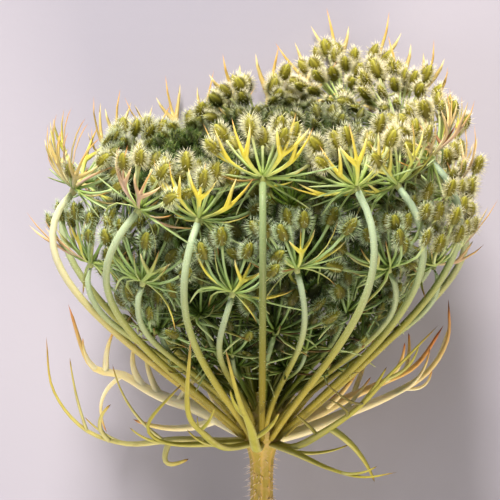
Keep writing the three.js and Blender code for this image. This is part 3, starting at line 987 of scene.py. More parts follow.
@dataclass
class Shapes:
    """The shapes that are modelled once and then copied all over the head."""

    ray_sides: int = 10
    ray_root: float = 0.5  # its radius where it springs
    ray_swell: float = 0.1  # what it gains
    ray_swollen: float = 0.3  # how far along it has all of that
    ray_neck: float = 0.95  # where it starts to flare
    ray_flare: float = 0.62  # its radius at its end
    ray_stations: int = 26
    hub_profile: Profile = (
        (0, 0.5), (0.5, 0.6), (0.85, 0.68), (1.15, 0.72), (1.4, 0.6), (1.6, 0.35), (1.7, 0))
    hub_middle: float = 1.15
    hub_shade: float = 0.66  # the place along a ray that has its colour
    pedicel_sides: int = 6
    pedicel_profile: Profile = ((0, 0.24), (0.2, 0.2), (0.45, 0.185), (0.7, 0.185), (0.9, 0.21), (1, 0.29))
    stalk_sides: int = 5
    stalk_profile: Profile = (
        (0, 0.23), (0.14, 0.2), (0.3, 0.185), (0.45, 0.172), (0.6, 0.158), (0.74, 0.142), (0.86, 0.12),
        (0.95, 0.09), (1, 0))
    strap_sides: int = 6
    strap_profile: Profile = (
        (0, 0.28), (0.15, 0.24), (0.35, 0.23), (0.55, 0.21), (0.75, 0.16), (0.9, 0.1), (1, 0))
    forked_profile: Profile = (
        (0, 0.28), (0.1, 0.27), (0.25, 0.3), (0.36, 0.36), (0.44, 0.43), (0.51, 0.37), (0.6, 0.25),
        (0.8, 0.17), (1, 0))
    strap_flatness: float = 0.45
    fork: Pair = (0.44, 0.51)  # where the side points spring
    points: tuple[tuple[Direction, ...], ...] = (
        ((0.5, 0.07, 0.85), (0.62, 0.09, 0.8), (0.62, 0.11, 0.75), (0.45, 0.12, 0.5)),
        ((0.42, 0.05, 0.85), (0.55, 0.07, 0.8), (0.55, 0.09, 0.75), (0.42, 0.1, 0.5)))
    fruit_length: float = 2.75
    fruit_radius: float = 0.86
    fruit_foot: float = 0.26  # its radius on its stalk
    fruit_flatness: float = 0.74
    fruit_waist: float = 0.44  # where it is widest, as part of its length
    fruit_half: float = 0.46  # how far its bristles reach from there, as part of its length
    fruit_sides: int = 12
    fruit_profile: Profile = (  # parts of its length and radius
        (0.04, 0.5), (0.14, 0.82), (0.3, 0.98), (0.48, 1.0), (0.66, 0.88), (0.82, 0.6), (0.93, 0.3))
    furrow: float = 0.13  # part of the radius that its furrows lose
    furrow_ends: Pair = (0.03, 0.9)
    ridges: tuple[float, float, float] = (1.0, 0.5, 0.1)  # how much its rim, ribs and furrows are ridges; the rim's value takes a painted highlight
    bristle_count: int = 150
    young_bristle_count: int = 58
    bristle_length: float = 1.12
    bristle_share: Pair = (0.7, 0.5)  # of that, the least and what chance adds
    bristle_side: Direction = (0.3, 0.5, 0.8)
    bristle_sides: int = 3
    bristle_radius: float = 0.04
    bristle_span: float = 0.93  # the part of the fruit that has bristles, and how deep their roots are
    bristle_lean: float = 0.12  # towards the beak, and at random
    bristle_turns: Pair = (0.65, 1.57)  # radians from its edge, and over its faces
    face_share: float = 0.2  # of the bristles that stand on its two faces, not round its edge
    style: Direction = (1.8, 1.8, 0.8)  # a style's size, against a bristle's
    style_place: float = 0.95
    style_spread: Pair = (0.6, 0.1)  # aside, and at random along the fruit's flat side
    burr_seeds: tuple[int, ...] = (0, 1, 2, 3, 4)
    young_burr_seeds: tuple[int, ...] = (11, 12)
    rib_sides: int = 8
    rib_taper: Row = (0.72, 0.2, 0.8, 0.94, 26)
    rib_flatness: float = 0.62
    thread_sides: int = 6
    thread_taper: Row = (0.46, 0.0, 0.7, 0.93, 15)
    thread_flatness: float = 0.7
    rays: Pattern = field(init=False)
    hubs: Pattern = field(init=False)
    pedicels: Pattern = field(init=False)
    stalks: Pattern = field(init=False)
    straps: dict[Fork, Pattern] = field(init=False)
    bristles: Pattern = field(init=False)
    burrs: list[Pattern] = field(init=False)
    young_burrs: list[Pattern] = field(init=False)
    ribs: Pattern = field(init=False)
    threads: Pattern = field(init=False)

    def limb(self, sides: int, profile: Profile, slot: int, flat: float = 1.0) -> Pattern:
        """A limb that runs through a profile, drawn out of a ring with so many sides."""
        return Bench(sides, profile[0][1], flat).turned(profile[1:]).done(slot)

    def ray(self) -> Pattern:
        """A ray: it swells from its root and flares into its hub.

        Returns:
            The ray.
        """
        heights = np.linspace(0, self.ray_neck, self.ray_stations)
        swell = [(t, self.ray_root + self.ray_swell * min(1.0, t / self.ray_swollen)) for t in heights]
        return self.limb(self.ray_sides, (*swell, (1.0, self.ray_flare)), Slot.RAY)

    def hub(self) -> Pattern:
        """The knob that ends a ray, in millimetres from its middle.

        Returns:
            The knob.
        """
        knob = self.limb(self.ray_sides, self.hub_profile, Slot.RAY)
        knob.points[:, 2] -= self.hub_middle
        knob.along = np.full(len(knob.points), self.hub_shade)
        return knob

    def strap(self, fork: Fork) -> Pattern:
        """A bracteole with one, two or three points.

        Args:
            fork: How it ends.

        Returns:
            The bracteole.
        """
        profile = self.strap_profile if fork is Fork.ONE else self.forked_profile
        bench = Bench(self.strap_sides, profile[0][1], self.strap_flatness).turned(profile[1:])
        for side, way in list(zip((1, -1), self.points))[:fork.value - 1]:
            bench.shoot(side, *self.fork, way)
        return bench.done(Slot.BRACTEOLE)

    def fruit_body(self) -> Pattern:
        """The ribbed body of a fruit, from its stalk to its beak.

        Returns:
            The body.
        """
        r, h = self.fruit_radius, self.fruit_length
        bench = Bench(self.fruit_sides, self.fruit_foot)
        bench.turned((*((place * h, part * r) for place, part in self.fruit_profile), (h, 0)))
        bench.groove(2, 1, self.furrow, *(end * h for end in self.furrow_ends))
        body = bench.done(Slot.FRUIT)
        column = columns(body.points, self.fruit_sides)
        rim, rib, furrow = self.ridges
        body.edge = np.where(column % 2 == 0, rib, furrow)
        body.edge[column % (self.fruit_sides // 2) == 0] = rim
        body.points[:, 1] *= self.fruit_flatness
        return body

    def burr(self, body: Pattern, seed: int, count: int) -> Pattern:
        """A fruit with bristles all over and two styles on its beak.

        Args:
            body: The fruit's body.
            seed: Of the bristles' small differences.
            count: How many bristles to set.

        Returns:
            The whole fruit.
        """
        rng = np.random.default_rng(seed)
        bristle, parts = self.bristles, [body]
        r, h, flat = self.fruit_radius, self.fruit_length, self.fruit_flatness
        for k in range(count):
            rise = self.bristle_span * (2 * (k + 0.5) / count - 1)
            swell = math.sqrt(1 - rise * rise)
            spread = self.bristle_turns[rng.random() < self.face_share]
            turn = math.pi * (k % 2) + spread * (2 * rng.random() - 1)
            out = np.array([math.cos(turn), math.sin(turn) * flat, 0.0])
            lean = UP * (rise / (0.5 * h) + self.bristle_lean)
            course = unit(out * swell / r + lean + self.bristle_lean * rng.standard_normal(3))
            root = out * r * swell * self.bristle_span + UP * h * (self.fruit_waist + self.fruit_half * rise)
            length = self.bristle_length * drawn(rng, self.bristle_share)
            spine = bristle.copy(bristle.points * [1, 1, length])
            parts.append(spine.placed(root, course, np.array(self.bristle_side)))
        for side in (-1, 1):
            style = bristle.copy(bristle.points * self.style)
            aside, chance_aside = self.style_spread
            course = unit(np.array([aside * side, chance_aside * rng.standard_normal(), 1.0]))
            parts.append(style.placed(UP * h * self.style_place, course, np.array([0.0, 1.0, 0.0])))
        return Pattern.joined(parts)

    def taper(self, radius: float, swell: float, loss: float, neck: float, count: int) -> Profile:
        """The profile of a limb that thins to a point.

        Args:
            radius: Its radius at the root.
            swell: The part of it that the first half gains in its middle.
            loss: The part of it that is lost towards the tip.
            neck: Where the last ring before the point is.
            count: How many rings it has.

        Returns:
            The profile.
        """
        rings = []
        for t in np.linspace(0, neck, count):
            bulge = 1.0 + swell * math.sin(math.pi * min(1, t / 0.5))
            rings.append((t, radius * bulge * (1 - loss * t ** 1.5)))
        return (*rings, (1.0, 0))

    def make(self) -> None:
        """Models every shape."""
        self.rays = self.ray()
        self.hubs = self.hub()
        self.pedicels = self.limb(self.pedicel_sides, self.pedicel_profile, Slot.PEDICEL)
        self.stalks = self.limb(self.stalk_sides, self.stalk_profile, Slot.PEDICEL)
        self.straps = {fork: self.strap(fork) for fork in Fork}
        self.bristles = self.limb(self.bristle_sides, ((0, self.bristle_radius), (1, 0)), Slot.BRISTLE)
        body = self.fruit_body()
        self.burrs = [self.burr(body, seed, self.bristle_count) for seed in self.burr_seeds]
        self.young_burrs = [self.burr(body, seed, self.young_bristle_count) for seed in self.young_burr_seeds]
        self.ribs = self.limb(self.rib_sides, self.taper(*self.rib_taper), 0, self.rib_flatness)
        self.threads = self.limb(self.thread_sides, self.taper(*self.thread_taper), 0, self.thread_flatness)


# ---- The umbellets ----


@dataclass(frozen=True)
class Tier:
    """A ring of umbellets and how its rays run."""

    name: str
    slot: str
    root: Pair  # radius and height where its rays spring
    launch: float  # elevation at which they leave
    start: float  # how long they keep that course, as part of their chord
    finish: float  # the same for the course at their end
    lean: float  # of their ends towards the axis
    spread: float  # of the stalks
    warmth: float  # of the bracteoles' colour
    thickness: float  # of the rays, as part of the full one
    drooping: int  # bracteoles that hang from each hub
    stars: tuple[tuple[float, float, float, float], ...]  # azimuth, radius, height and bow


TIERS = (
    Tier("rim", "umbellet_rim", (4.0, 0.2), 45, 0.42, 0.36, 47, 1, 0.72, 0.94, 9, (
        (0, 26, 43.2, 0), (29, 26, 41.2, 3), (46, 25.5, 40.5, 4), (62, 26, 43, 4), (84, 26, 35.5, 0),
        (106, 26, 39, 0), (129, 25.5, 42, 0), (154, 27.6, 43, -2), (179, 22.5, 39, 0), (203, 26, 35.5, -4),
        (228, 26, 33.5, 0), (257, 26.5, 35.5, 0), (288, 27.5, 37.7, 0), (320, 26, 37.5, -8),
        (340, 25, 37, -2))),
    Tier("middle", "umbellet_middle", (3.75, 2.15), 53, 0.42, 0.3, 26, 1, 0.14, 0.78, 15, (
        (11, 24, 30.2, 0), (46, 24, 28.5, 2), (74, 25, 26.5, 0), (101, 25, 28.5, 0), (128, 24, 30, 0),
        (154, 22.5, 29, 0), (182, 20.5, 27, 0), (210, 21.5, 26, 0), (238, 23.5, 25.5, 0),
        (290, 25.5, 27.2, 0), (317, 24, 26.8, -2), (350, 23, 26.6, 0))),
    Tier("lower", "umbellet_lower", (3.2, 3.8), 58, 0.4, 0.3, -6, 0.9, 0.05, 0.68, 15, (
        (6, 17, 19.6, 0), (40, 18, 21.4, 0), (82, 18, 19.5, 0), (128, 17.5, 20, 0), (178, 16.5, 19.5, 0),
        (222, 17, 19, 0), (266, 18, 19.5, 0), (309, 18.5, 18.2, 0), (332, 18, 21.7, 0))),
    Tier("inner", "umbellet_inner", (2.2, 5.3), 70, 0.4, 0.35, 2, 0.95, 0.5, 0.75, 4, (
        (20, 12, 36, 0), (72, 13, 37, 0), (124, 12.5, 38, 0), (176, 12, 37, 0), (226, 12.5, 34.5, 0),
        (278, 13, 34, 0), (330, 12, 34.5, 0))),
    Tier("centre", "umbellet_inner", (0.8, 6.35), 84, 0.4, 0.35, 0, 0.95, 0.5, 0.75, 0, (
        (80, 4.5, 33, 0), (255, 4.5, 32, 0))),
)
# Small late umbellets on short thin rays, which fill the nest under the others.
YOUNG_TIERS = (
    Tier("young_low", "umbellet_inner", (2.9, 4.2), 52, 0.35, 0.3, -20, 0.85, 0.0, 0.55, 9, (
        (18, 11, 12.2, 0), (58, 11, 11.6, 0), (98, 11.5, 12.4, 0), (138, 11, 12, 0), (180, 11, 12.2, 0),
        (222, 11, 11.8, 0), (262, 11.5, 12.4, 0), (302, 11, 11.6, 0), (342, 11, 12.6, 0))),
    Tier("young_mid", "umbellet_inner", (2.6, 4.8), 60, 0.35, 0.3, -16, 0.9, 0.0, 0.55, 9, (
        (22, 16.2, 16.2, 0), (60, 16.4, 15.6, 0), (104, 16, 16.6, 0), (154, 15.6, 16.2, 0),
        (202, 15.6, 15.8, 0), (244, 16, 16.4, 0), (288, 16.4, 15.6, 0), (345, 16, 15.8, 0))),
    Tier("young_high", "umbellet_inner", (1.6, 5.8), 66, 0.35, 0.3, -10, 0.95, 0.0, 0.6, 6, (
        (0, 10.5, 22.5, 0), (52, 11, 23.5, 0), (104, 10.5, 22.8, 0), (156, 10.5, 23.4, 0),
        (208, 10.5, 22.6, 0), (260, 11, 23.4, 0), (308, 10.5, 22.8, 0))),
    Tier("young_core", "umbellet_inner", (0.5, 6.2), 84, 0.35, 0.3, 0, 0.95, 0.0, 0.6, 4, (
        (30, 4.2, 16.2, 0), (210, 4.2, 17.4, 0))),
)
# Umbellets whose bracteoles, or rays, take a colour of their own: warmth, blush and the ray's warmth.
TINTS = {
    1: (1.0, 0.0, 0.0), 2: (0.9, 0.0, 0.1), 4: (0.7, 0.6, 0.1), 5: (0.8, 0.7, 0.3),
    13: (0.6, 0.45, 1.0), 14: (0.5, 0.8, 0.1), 15: (1.0, 0.0, 0.0), 16: (0.75, 0.0, 0.1),
}
REAR_FROM = 8  # how far back the rim's far side starts
FEET = (154, 203)  # azimuths of the rim rays that the head rests on
WIDE_TIERS = ("rim", "middle")  # whose outer bracteoles rise
OPEN_TIERS = ("rim", "middle", "lower")  # whose stars are seen from the side
# The middles of the fruits that stand out at one side of the head, for each umbellet.
BESIDE = {
    4: ((22.7, -15.0, 38.9), (24.2, -14.6, 35.9), (25.9, -15.0, 39.4)),
    5: ((30.4, -3.0, 40.0), (28.9, -6.2, 37.2), (27.8, -6.4, 40.0), (29.6, -1.0, 36.6), (27.4, -10.0, 38.1)),
    17: ((19.7, -19.0, 35.5), (22.1, -20.6, 37.2), (22.3, -21.6, 34.0), (19.2, -19.2, 32.2)),
    18: ((28.9, -9.0, 34.6), (26.6, -14.6, 35.3), (27.2, -13.6, 32.5), (24.5, -14.0, 31.2),
         (29.6, -6.5, 32.0), (27.7, -10.4, 35.6)),
}
# The tips of the forked bracteoles that reach out past the sides of the head.
REACHING = {
    4: ((29.4, -9.0, 50.5),),
    18: ((33.4, -3.0, 35.0), (31.4, -4.0, 28.6)),
    25: ((-33.0, -7.0, 34.0), (-30.4, -9.0, 33.4)),
}
# The tips of the plain ones that stand up in a fan.
FAN = {
    13: ((-28.4, -9.5, 48.6), (-26.4, -8.0, 49.2), (-24.4, -9.4, 48.0), (-26.8, -10.5, 46.2),
         (-22.4, -10.4, 45.4), (-20.6, -12.0, 41.6), (-29.8, -8.5, 42.6), (-24.2, -6.0, 46.6)),
}


@dataclass(frozen=True)
class Stalks:
    """A ring of limbs on a hub."""

    leave: float  # degrees from the axis where they leave the hub
    arrive: float  # and at their end
    length: float
    variety: float  # of their length
    places: Row = ()  # sectors of the hub that they stand in


@dataclass
class Ray:
    """One ray: its middle line, and the hub at its end."""

    number: int
    tier: Tier
    hub: Vec
    axis: Vec
    side: Vec
    line: Line

    @property
    def seed(self) -> float:
        """What its limbs' small differences start from."""
        return self.number * 1.7

    @property
    def young(self) -> bool:
        """Whether it is a late one, inside the nest."""
        return self.tier in YOUNG_TIERS

    @property
    def open(self) -> bool:
        """Whether its star is seen from the side."""
        return self.tier.name in OPEN_TIERS

    @property
    def rear(self) -> bool:
        """Whether it is on the rim's far side, which is seen over the top."""
        return self.tier.name == "rim" and self.hub[1] > REAR_FROM

    @property
    def outward(self) -> Vec:
        """The level direction from the head's middle to its hub."""
        return unit(self.hub * LEVEL)

    def from_axis(self, angle: float, turn: float) -> Vec:
        """A direction at an angle in degrees from its axis, turned round it from its side.

        Args:
            angle: The angle.
            turn: The turn, in radians.

        Returns:
            The direction.
        """
        angle *= DEGREE
        return (self.axis * math.cos(angle) + self.side * math.sin(angle) * math.cos(turn)
                + np.cross(self.axis, self.side) * math.sin(angle) * math.sin(turn))

    def faces_out(self, turn: float) -> float:
        """How squarely a limb at a turn round its axis faces away from the head's middle."""
        return self.from_axis(90, turn) @ self.outward


@dataclass
class Umbel:
    """The head: every ray with its umbellet."""

    shapes: Shapes
    ray_radius: float = 0.6
    slimness: float = 0.9  # of a drawn ray, as part of its node's width
    foot_height: float = 0.1
    clearance: float = 0.4
    stations: int = 8
    fine_stations: int = 33
    first_late: int = 101  # the number of the first late ray
    bows: tuple[int, ...] = (0, 4, -4, 8, -8, 12, -12, 16, -16)
    ray_points: np.ndarray = field(init=False)  # of every ray
    ray_owner: np.ndarray = field(init=False)  # the ray that each of these belongs to
    hubs: np.ndarray = field(init=False)  # of the open stars
    bellies: list[Vec] = field(init=False)  # the middles of the fruits so far

    def ray_line(self, tier: Tier, star: Row, root: float, bow: float, count: int) -> Line:
        """The middle line of one ray.

        Args:
            tier: Its tier.
            star: Its azimuth, radius, height and bow.
            root: The azimuth where it springs, in radians.
            bow: The degrees that it bows aside.
            count: How many points to give.

        Returns:
            The points, from its root to its star, clear of the surface.
        """
        azimuth, radius, height, _ = star
        start, end = np.array(tier.root), np.array([radius, height])
        chord = np.linalg.norm(end - start)
        launch, lean = tier.launch * DEGREE, tier.lean * DEGREE
        controls = np.array([
            start,
            start + chord * tier.start * np.array([math.cos(launch), math.sin(launch)]),
            end + chord * tier.finish * np.array([math.sin(lean), -math.cos(lean)]),
            end,
        ])
        part = np.linspace(0, 1, count)
        place = bezier(controls, part)
        turn = half_turn(azimuth * DEGREE - root)
        swing = turn * smoothstep(part, 0, 1) + bow * DEGREE * np.sin(math.pi * part)
        foot = tier.name == "rim" and azimuth in FEET
        least = self.foot_height if foot else self.ray_radius + self.clearance
        return LAID.bent_clear(around(root + swing, place[:, 0], place[:, 1]), least)

    def bow_of(self, tier: Tier, star: Row, root: float, node: str) -> float:
        """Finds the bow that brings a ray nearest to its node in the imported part.

        Args:
            tier: The ray's tier.
            star: Its azimuth, radius, height and bow.
            root: The azimuth where it springs, in radians.
            node: The node's name.

        Returns:
            The bow in degrees.
        """
        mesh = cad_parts[node].data
        there = np.empty(3 * len(mesh.vertices))
        mesh.vertices.foreach_get("co", there)
        there = there.reshape(-1, 3)

        def miss(bow: int) -> float:
            """How far a ray with this bow passes from the node's points."""
            line = LAID.row(self.ray_line(tier, star, root, star[3] + bow, self.stations))[1:-1]
            return float(np.linalg.norm(line[:, None] - there[None], axis=2).min(1).sum())

        return star[3] + min(self.bows, key=miss)

    def draw_rays(self, tiers: tuple[Tier, ...], first: int, packed: bool) -> list[Ray]:
        """Works out every ray of some tiers, and the hub at its end.

        Args:
            tiers: The tiers.
            first: The number of the first ray.
            packed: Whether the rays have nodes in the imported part.

        Returns:
            The rays.
        """
        rays = []
        for tier in tiers:
            for i, star in enumerate(tier.stars):
                number = first + len(rays)
                root = (tier.stars[0][0] + i * 360 / len(tier.stars)) * DEGREE
                bow = self.bow_of(tier, star, root, f"umbellet_{number:02d}") if packed else 0
                coarse = self.ray_line(tier, star, root, bow, self.stations)
                axis = unit(coarse[-1] - coarse[-2])
                fine = self.ray_line(tier, star, root, bow, self.fine_stations)
                rays.append(Ray(number, tier, coarse[-1], axis, unit(np.cross(UP, axis)), fine))
        return rays

    def build(self, finishes: list[Material]) -> None:
        """Builds every umbellet in place of its node, and the late ones as one piece for each tier.

        Args:
            finishes: The materials of the slots.
        """
        rays = self.draw_rays(TIERS, 1, True)
        late = self.draw_rays(YOUNG_TIERS, self.first_late, False)
        self.ray_points = np.concatenate([ray.line for ray in rays + late])
        self.ray_owner = np.concatenate([np.full(len(ray.line), ray.number) for ray in rays + late])
        self.hubs = np.array([ray.hub for ray in rays if ray.open])
        self.bellies = [np.array(belly) for bellies in BESIDE.values() for belly in bellies]
        for ray in rays:
            sheaf = Sheaf()
            Umbellet(self, ray, sheaf).gather()
            piece = sheaf.piece(f"seed_umbellet_{ray.number:02d}", finishes)
            seat(piece, ray.tier.slot, f"umbellet_{ray.number:02d}")
        for tier in YOUNG_TIERS:
            sheaf = Sheaf()
            for ray in late:
                if ray.tier is tier:
                    Umbellet(self, ray, sheaf).gather()
            seat(sheaf.piece(f"{tier.name}_umbellets", finishes), tier.slot)
        log.info("fruits: %d", len(self.bellies))


@dataclass
class Umbellet:
    """One umbellet: its ray and hub, and the fruits, bracteoles and stalks that grow there."""

    umbel: Umbel
    ray: Ray
    sheaf: Sheaf
    # The ray and its short hairs.
    sink: float = 0.9  # how far it starts inside the receptacle, and ends before its hub's middle
    # The ray that takes painted shade all along, through its blush.
    painted_shade_ray: int = 1
    down_count: int = 90
    down_size: Direction = (1.3, 1.3, 0.32)  # against a bristle's
    down_start: int = 3  # the station where they start
    down_lean: Pair = (0.3, 0.4)  # this and the next: the least, and what chance adds
    down_length: Pair = (0.6, 0.8)
    down_root: float = 0.06  # how deep they are rooted
    down_lift: float = 0.5  # of their roots over the surface, at least
    down_tint: Tint = (0.45, 0, 0.5)
    # The rings of fruits, and the room that they have.
    sectors: int = 8
    fruit_rings: tuple[Stalks, ...] = (
        Stalks(86, 48, 7.4, 0.08, (0, 2, 4, 6)),
        Stalks(50, 26, 6.3, 0.08, (1, 3, 5, 7)),
        Stalks(0, 0, 4.8, 0.08, (0,)),
        Stalks(62, 36, 7.4, 0.1, (0, 2, 4, 6)),
        Stalks(27, 12, 5.8, 0.08, (0.5, 4.5)),
    )
    skirt: Stalks = Stalks(100, 76, 7.6, 0.12, (1, 3, 5, 7, 0, 2, 4, 6))
    rear_rings: tuple[Stalks, ...] = (
        Stalks(74, 50, 7.9, 0.1, (0, 1, 2, 3, 4, 5, 6, 7)),
        Stalks(48, 34, 7.2, 0.1, (0.5, 2.5, 4.5, 6.5)),
        Stalks(100, 72, 8.0, 0.1, (0, 1, 2, 3, 4, 5, 6, 7)),
    )
    stalk_shares: Row = (1, 0.85, 0.7, 1.15, 0.55)  # lengths that a stalk tries
    stalk_shifts: Row = (0, 0.2, -0.2, 0.4, -0.4)  # and turns, in radians
    long_stalks: float = 1.12  # the middle tier's, as part of the others'
    upright: float = 0.12  # the most that an open tier's fruit turns outwards
    wide: float = 60.0  # the end angle past which a fruit may turn less far outwards
    outward_limit: float = 0.3  # how far it may then
    outward_most: float = 0.6  # and otherwise
    inward_most: float = -0.3  # past which a low fruit would be hidden in the nest
    hidden_below: float = 34.0
    belly: float = 1.25  # from the foot of a fruit to its middle
    stalk_lift: float = 0.7  # of a stalk over the surface, at least
    fruit_lift: float = 1.6  # and of a fruit's middle
    fruit_room: float = 1.95  # between the middles of two fruits
    ray_room: float = 1.5  # between a fruit's middle and the middle of a ray
    hub_room: float = 3.3  # between a fruit's middle and the line of sight to a hub
    seen: float = 6.0  # how far back the rays are that are seen past the fruits
    front: float = 3.0  # and the fruits that shape the head's outline
    shoulder: Pair = (22.5, 41.5)  # half width and height past which the sides have none
    saddle: Row = (7.0, 13.0, 18.0, 21.5, 23.5)  # places where the left rim steps down
    saddle_heights: Row = (49.5, 45.5, 46.4, 45.6, 38.5)
    saddle_slope: float = 0.25  # what it gains towards the back
    chosen_lean: float = 0.35  # outwards, of a fruit at a chosen place and of its stalk
    chosen_reach: float = 0.4  # how long its stalk keeps its course at either end
    hidden_from: float = -0.5  # how far out of a point a fruit starts to hide it
    fruit_steps: int = 6  # of a stalk's line
    # The fruits' colours, turns and sizes.
    # The fruits' warm run is a painted lit copy: more of it towards the top, the right and the rim's far
    # side, and some at random.
    painted_light_heights: Pair = (36, 45)  # where they take more painted light towards the top
    painted_light_side: Pair = (15, 28)  # and towards the right
    painted_light_most: float = 0.75
    warm_chance: float = 0.15
    rear_painted_light: float = 0.3
    flank: Pair = (12, 22)  # where those at the right start to turn their flat faces, and have turned
    flank_turn: float = 25.0
    facing_chance: float = 0.3  # how far their flat faces turn at random
    scale: Pair = (0.93, 0.14)  # the least, and what chance adds
    young_scale: Pair = (0.75, 0.14)
    seat: float = 0.06  # how deep a fruit sits on its stalk
    # The bracteoles.
    bracteoles: Stalks = Stalks(98, 42, 9.6, 0.15)
    rising: Stalks = Stalks(84, 22, 12.0, 0.12)
    warmth_share: Pair = (0.6, 0.7)  # of the tier's warmth, the least and what chance adds
    ray_warmth: float = 0.1
    rear_tint: Pair = (1.0, 0.5)  # warmth and blush
    strap_steps: int = 10
    turn_chance: float = 0.1  # radians that they turn round the hub at random
    middle_share: float = 0.9  # of its length that a forked one has in the middle tier
    plain_share: Pair = (0.65, 0.25)  # that a plain one has: the least, and what chance adds
    forked_width: Pair = (0.9, 0.2)
    plain_warmth: float = 0.5  # as part of a forked one's
    outer_side: float = 0.25
    rear_left: float = -5.0  # left of here a rear star's outer ones are slim
    slim_share: float = 1.25  # and as much longer than the others
    slim_warmth: float = 0.7
    rear_share: float = 1.4  # the same for the other rear stars'
    rear_width: float = 1.35
    bulge: float = 1.0  # how far an open star's may stand out before it turns aside
    turn_aside: float = 0.8  # the part of the rest that it keeps back
    strap_lift: float = 0.75
    three_share: float = 0.7  # of the forked ones that have three points
    plain_width: float = 0.95
    bright_share: float = 0.3  # of the middle tier's forked ones
    bright_warmth: float = 0.8
    dry_share: float = 0.22  # of those that face inwards
    dry_luck: float = 5.0
    reaching_width: float = 0.9
    reaching_tint: Tint = (0.8, 0.75, 0.6)
    fan_width: float = 1.15
    fan_tints: tuple[Tint, Tint] = ((0.4, 0.45, 0.4), (0.4, 0.8, 0.4))
    chosen_height: float = 40.0  # over which a reaching one bows outwards, and under which it sags
    chosen_sag: float = 0.16  # as part of its length
    chosen_bends: Pair = (0.35, 0.75)  # where it bends
    # The thin limbs that hang or stand out.
    nest_room: float = 0.6  # that they keep from the nest's outside
    thin_lift: float = 0.6  # over the surface, at least
    scatter: float = 0.8  # of their turns, as part of the sector that each has
    drooping: tuple[Stalks, ...] = (
        Stalks(104, 150, 7.6, 0.25),
        Stalks(84, 158, 8.6, 0.2),
        Stalks(96, 118, 7.0, 0.3),
    )
    droop_out: float = 0.6  # how far out a hanging one may end
    droop_sway: float = 3.4
    droop_waves: float = 1.3
    droop_steps: int = 12
    droop_warmths: Pair = (0.15, 0.6)
    low_height: float = 18.0  # under which they take more of the paler warm run, as painted light in the lower nest
    low_painted_light: float = 0.3
    bare: Stalks = Stalks(92, 84, 7.4, 0.3)
    bare_count: int = 10
    bare_side: float = 0.5
    bare_sway: float = 1.8
    bare_waves: float = 1.2
    bare_share: Pair = (0.75, 0.5)  # of its length and its warmth: the least, and what chance adds
    bare_warmth: Pair = (0.1, 0.4)
    thin_width: float = 0.85
    low_width: float = 1.1
    rng: np.random.Generator = field(init=False)
    shapes: Shapes = field(init=False)

    def __post_init__(self) -> None:
        """Starts the umbellet's own run of random numbers."""
        self.rng = np.random.default_rng(UMBELLET_SEED + self.ray.number)
        self.shapes = self.umbel.shapes

    def rings(self) -> tuple[Stalks, ...]:
        """The rings of fruits on this hub.

        Returns:
            The rings, in the order in which their fruits find room.
        """
        rings = self.fruit_rings
        if self.ray.young:
            return rings[:3]
        if self.ray.rear:
            return (*rings, *self.rear_rings)
        return rings if self.ray.open else (*rings[:3], self.skirt, *rings[3:])

    def limb(self, stalks: Stalks, sector: float, turn: float, share: float, steps: int) -> Line:
        """The middle line of one limb.

        Args:
            stalks: Its ring.
            sector: Its place in the ring.
            turn: Its turn round the ray's axis, in radians.
            share: How much of its full length it has.
            steps: How many stretches to draw.

        Returns:
            The points from the hub's middle.
        """
        ray = self.ray
        seed = ray.seed + 7 * sector + stalks.leave if stalks.leave else ray.seed
        leave = ray.from_axis(stalks.leave * ray.tier.spread, turn)
        arrive = ray.from_axis(stalks.arrive * ray.tier.spread, turn)
        if stalks in self.fruit_rings and ray.open:
            arrive = unit(arrive - max(0.0, float(arrive @ ray.outward) - self.upright) * ray.outward)
            share *= self.long_stalks if ray.tier.name == "middle" else 1.0
        length = stalks.length * share * (1 + stalks.variety * (2 * chance(seed) - 1))
        return spray(ray.hub, leave, arrive, length, steps)

    def settle_fruit(self, stalks: Stalks, sector: float) -> tuple[Line, Vec] | None:
        """Finds a fruit's stalk and course where it has room.

        Args:
            stalks: Its ring.
            sector: Its place in the ring.

        Returns:
            The stalk's line and the fruit's direction, or None where there is no room.
        """
        base = self.turn_at(sector) if stalks.leave else 0.0
        for share in self.stalk_shares:
            for shift in self.stalk_shifts:
                line = self.limb(stalks, sector, base + shift, share, self.fruit_steps)
                line = LAID.bent_clear(line, self.stalk_lift)
                course = unit(line[-1] - line[-2])
                belly = line[-1] + self.belly * course
                if self.stands_well(stalks, line[-1], course) and self.has_room(belly):
                    self.umbel.bellies.append(belly)
                    return line, course
        return None

    def turn_at(self, sector: float) -> float:
        """The turn round a ray's axis, in radians, of a sector of its hub."""
        return (sector + 0.5) / self.sectors * TURN

    def stands_well(self, stalks: Stalks, foot: Vec, course: Vec) -> bool:
        """Whether a fruit turns neither too far outwards nor into the nest.

        Args:
            stalks: Its ring.
            foot: Where it stands on its stalk.
            course: Its direction.

        Returns:
            True where it may stand so.
        """
        outwards = course @ self.ray.outward
        if outwards > (self.outward_limit if stalks.arrive > self.wide else self.outward_most):
            return False
        return outwards >= self.inward_most or foot[2] >= self.hidden_below

    def has_room(self, belly: Vec) -> bool:
        """Whether a fruit is clear of all else and inside the head's shape.

        Args:
            belly: The place of its middle.

        Returns:
            True where there is room.
        """
        umbel, (x, y, height) = self.umbel, belly
        others = umbel.ray_points[umbel.ray_owner != self.ray.number]
        if LAID.height(belly) < self.fruit_lift or nearest(others, belly) < self.ray_room:
            return False
        hidden = ((umbel.hubs, self.hub_room), (umbel.ray_points, self.ray_room))
        if self.ray.hub[1] < self.seen and any(self.hides(belly, *points) for points in hidden):
            return False
        if abs(x) > self.shoulder[0] and height > self.shoulder[1] and y < self.front:
            return False
        saddle_top = np.interp(-x, self.saddle, self.saddle_heights)
        if x < -self.saddle[0] and height + self.saddle_slope * y > saddle_top:
            return False
        return not umbel.bellies or nearest(np.array(umbel.bellies), belly) >= self.fruit_room

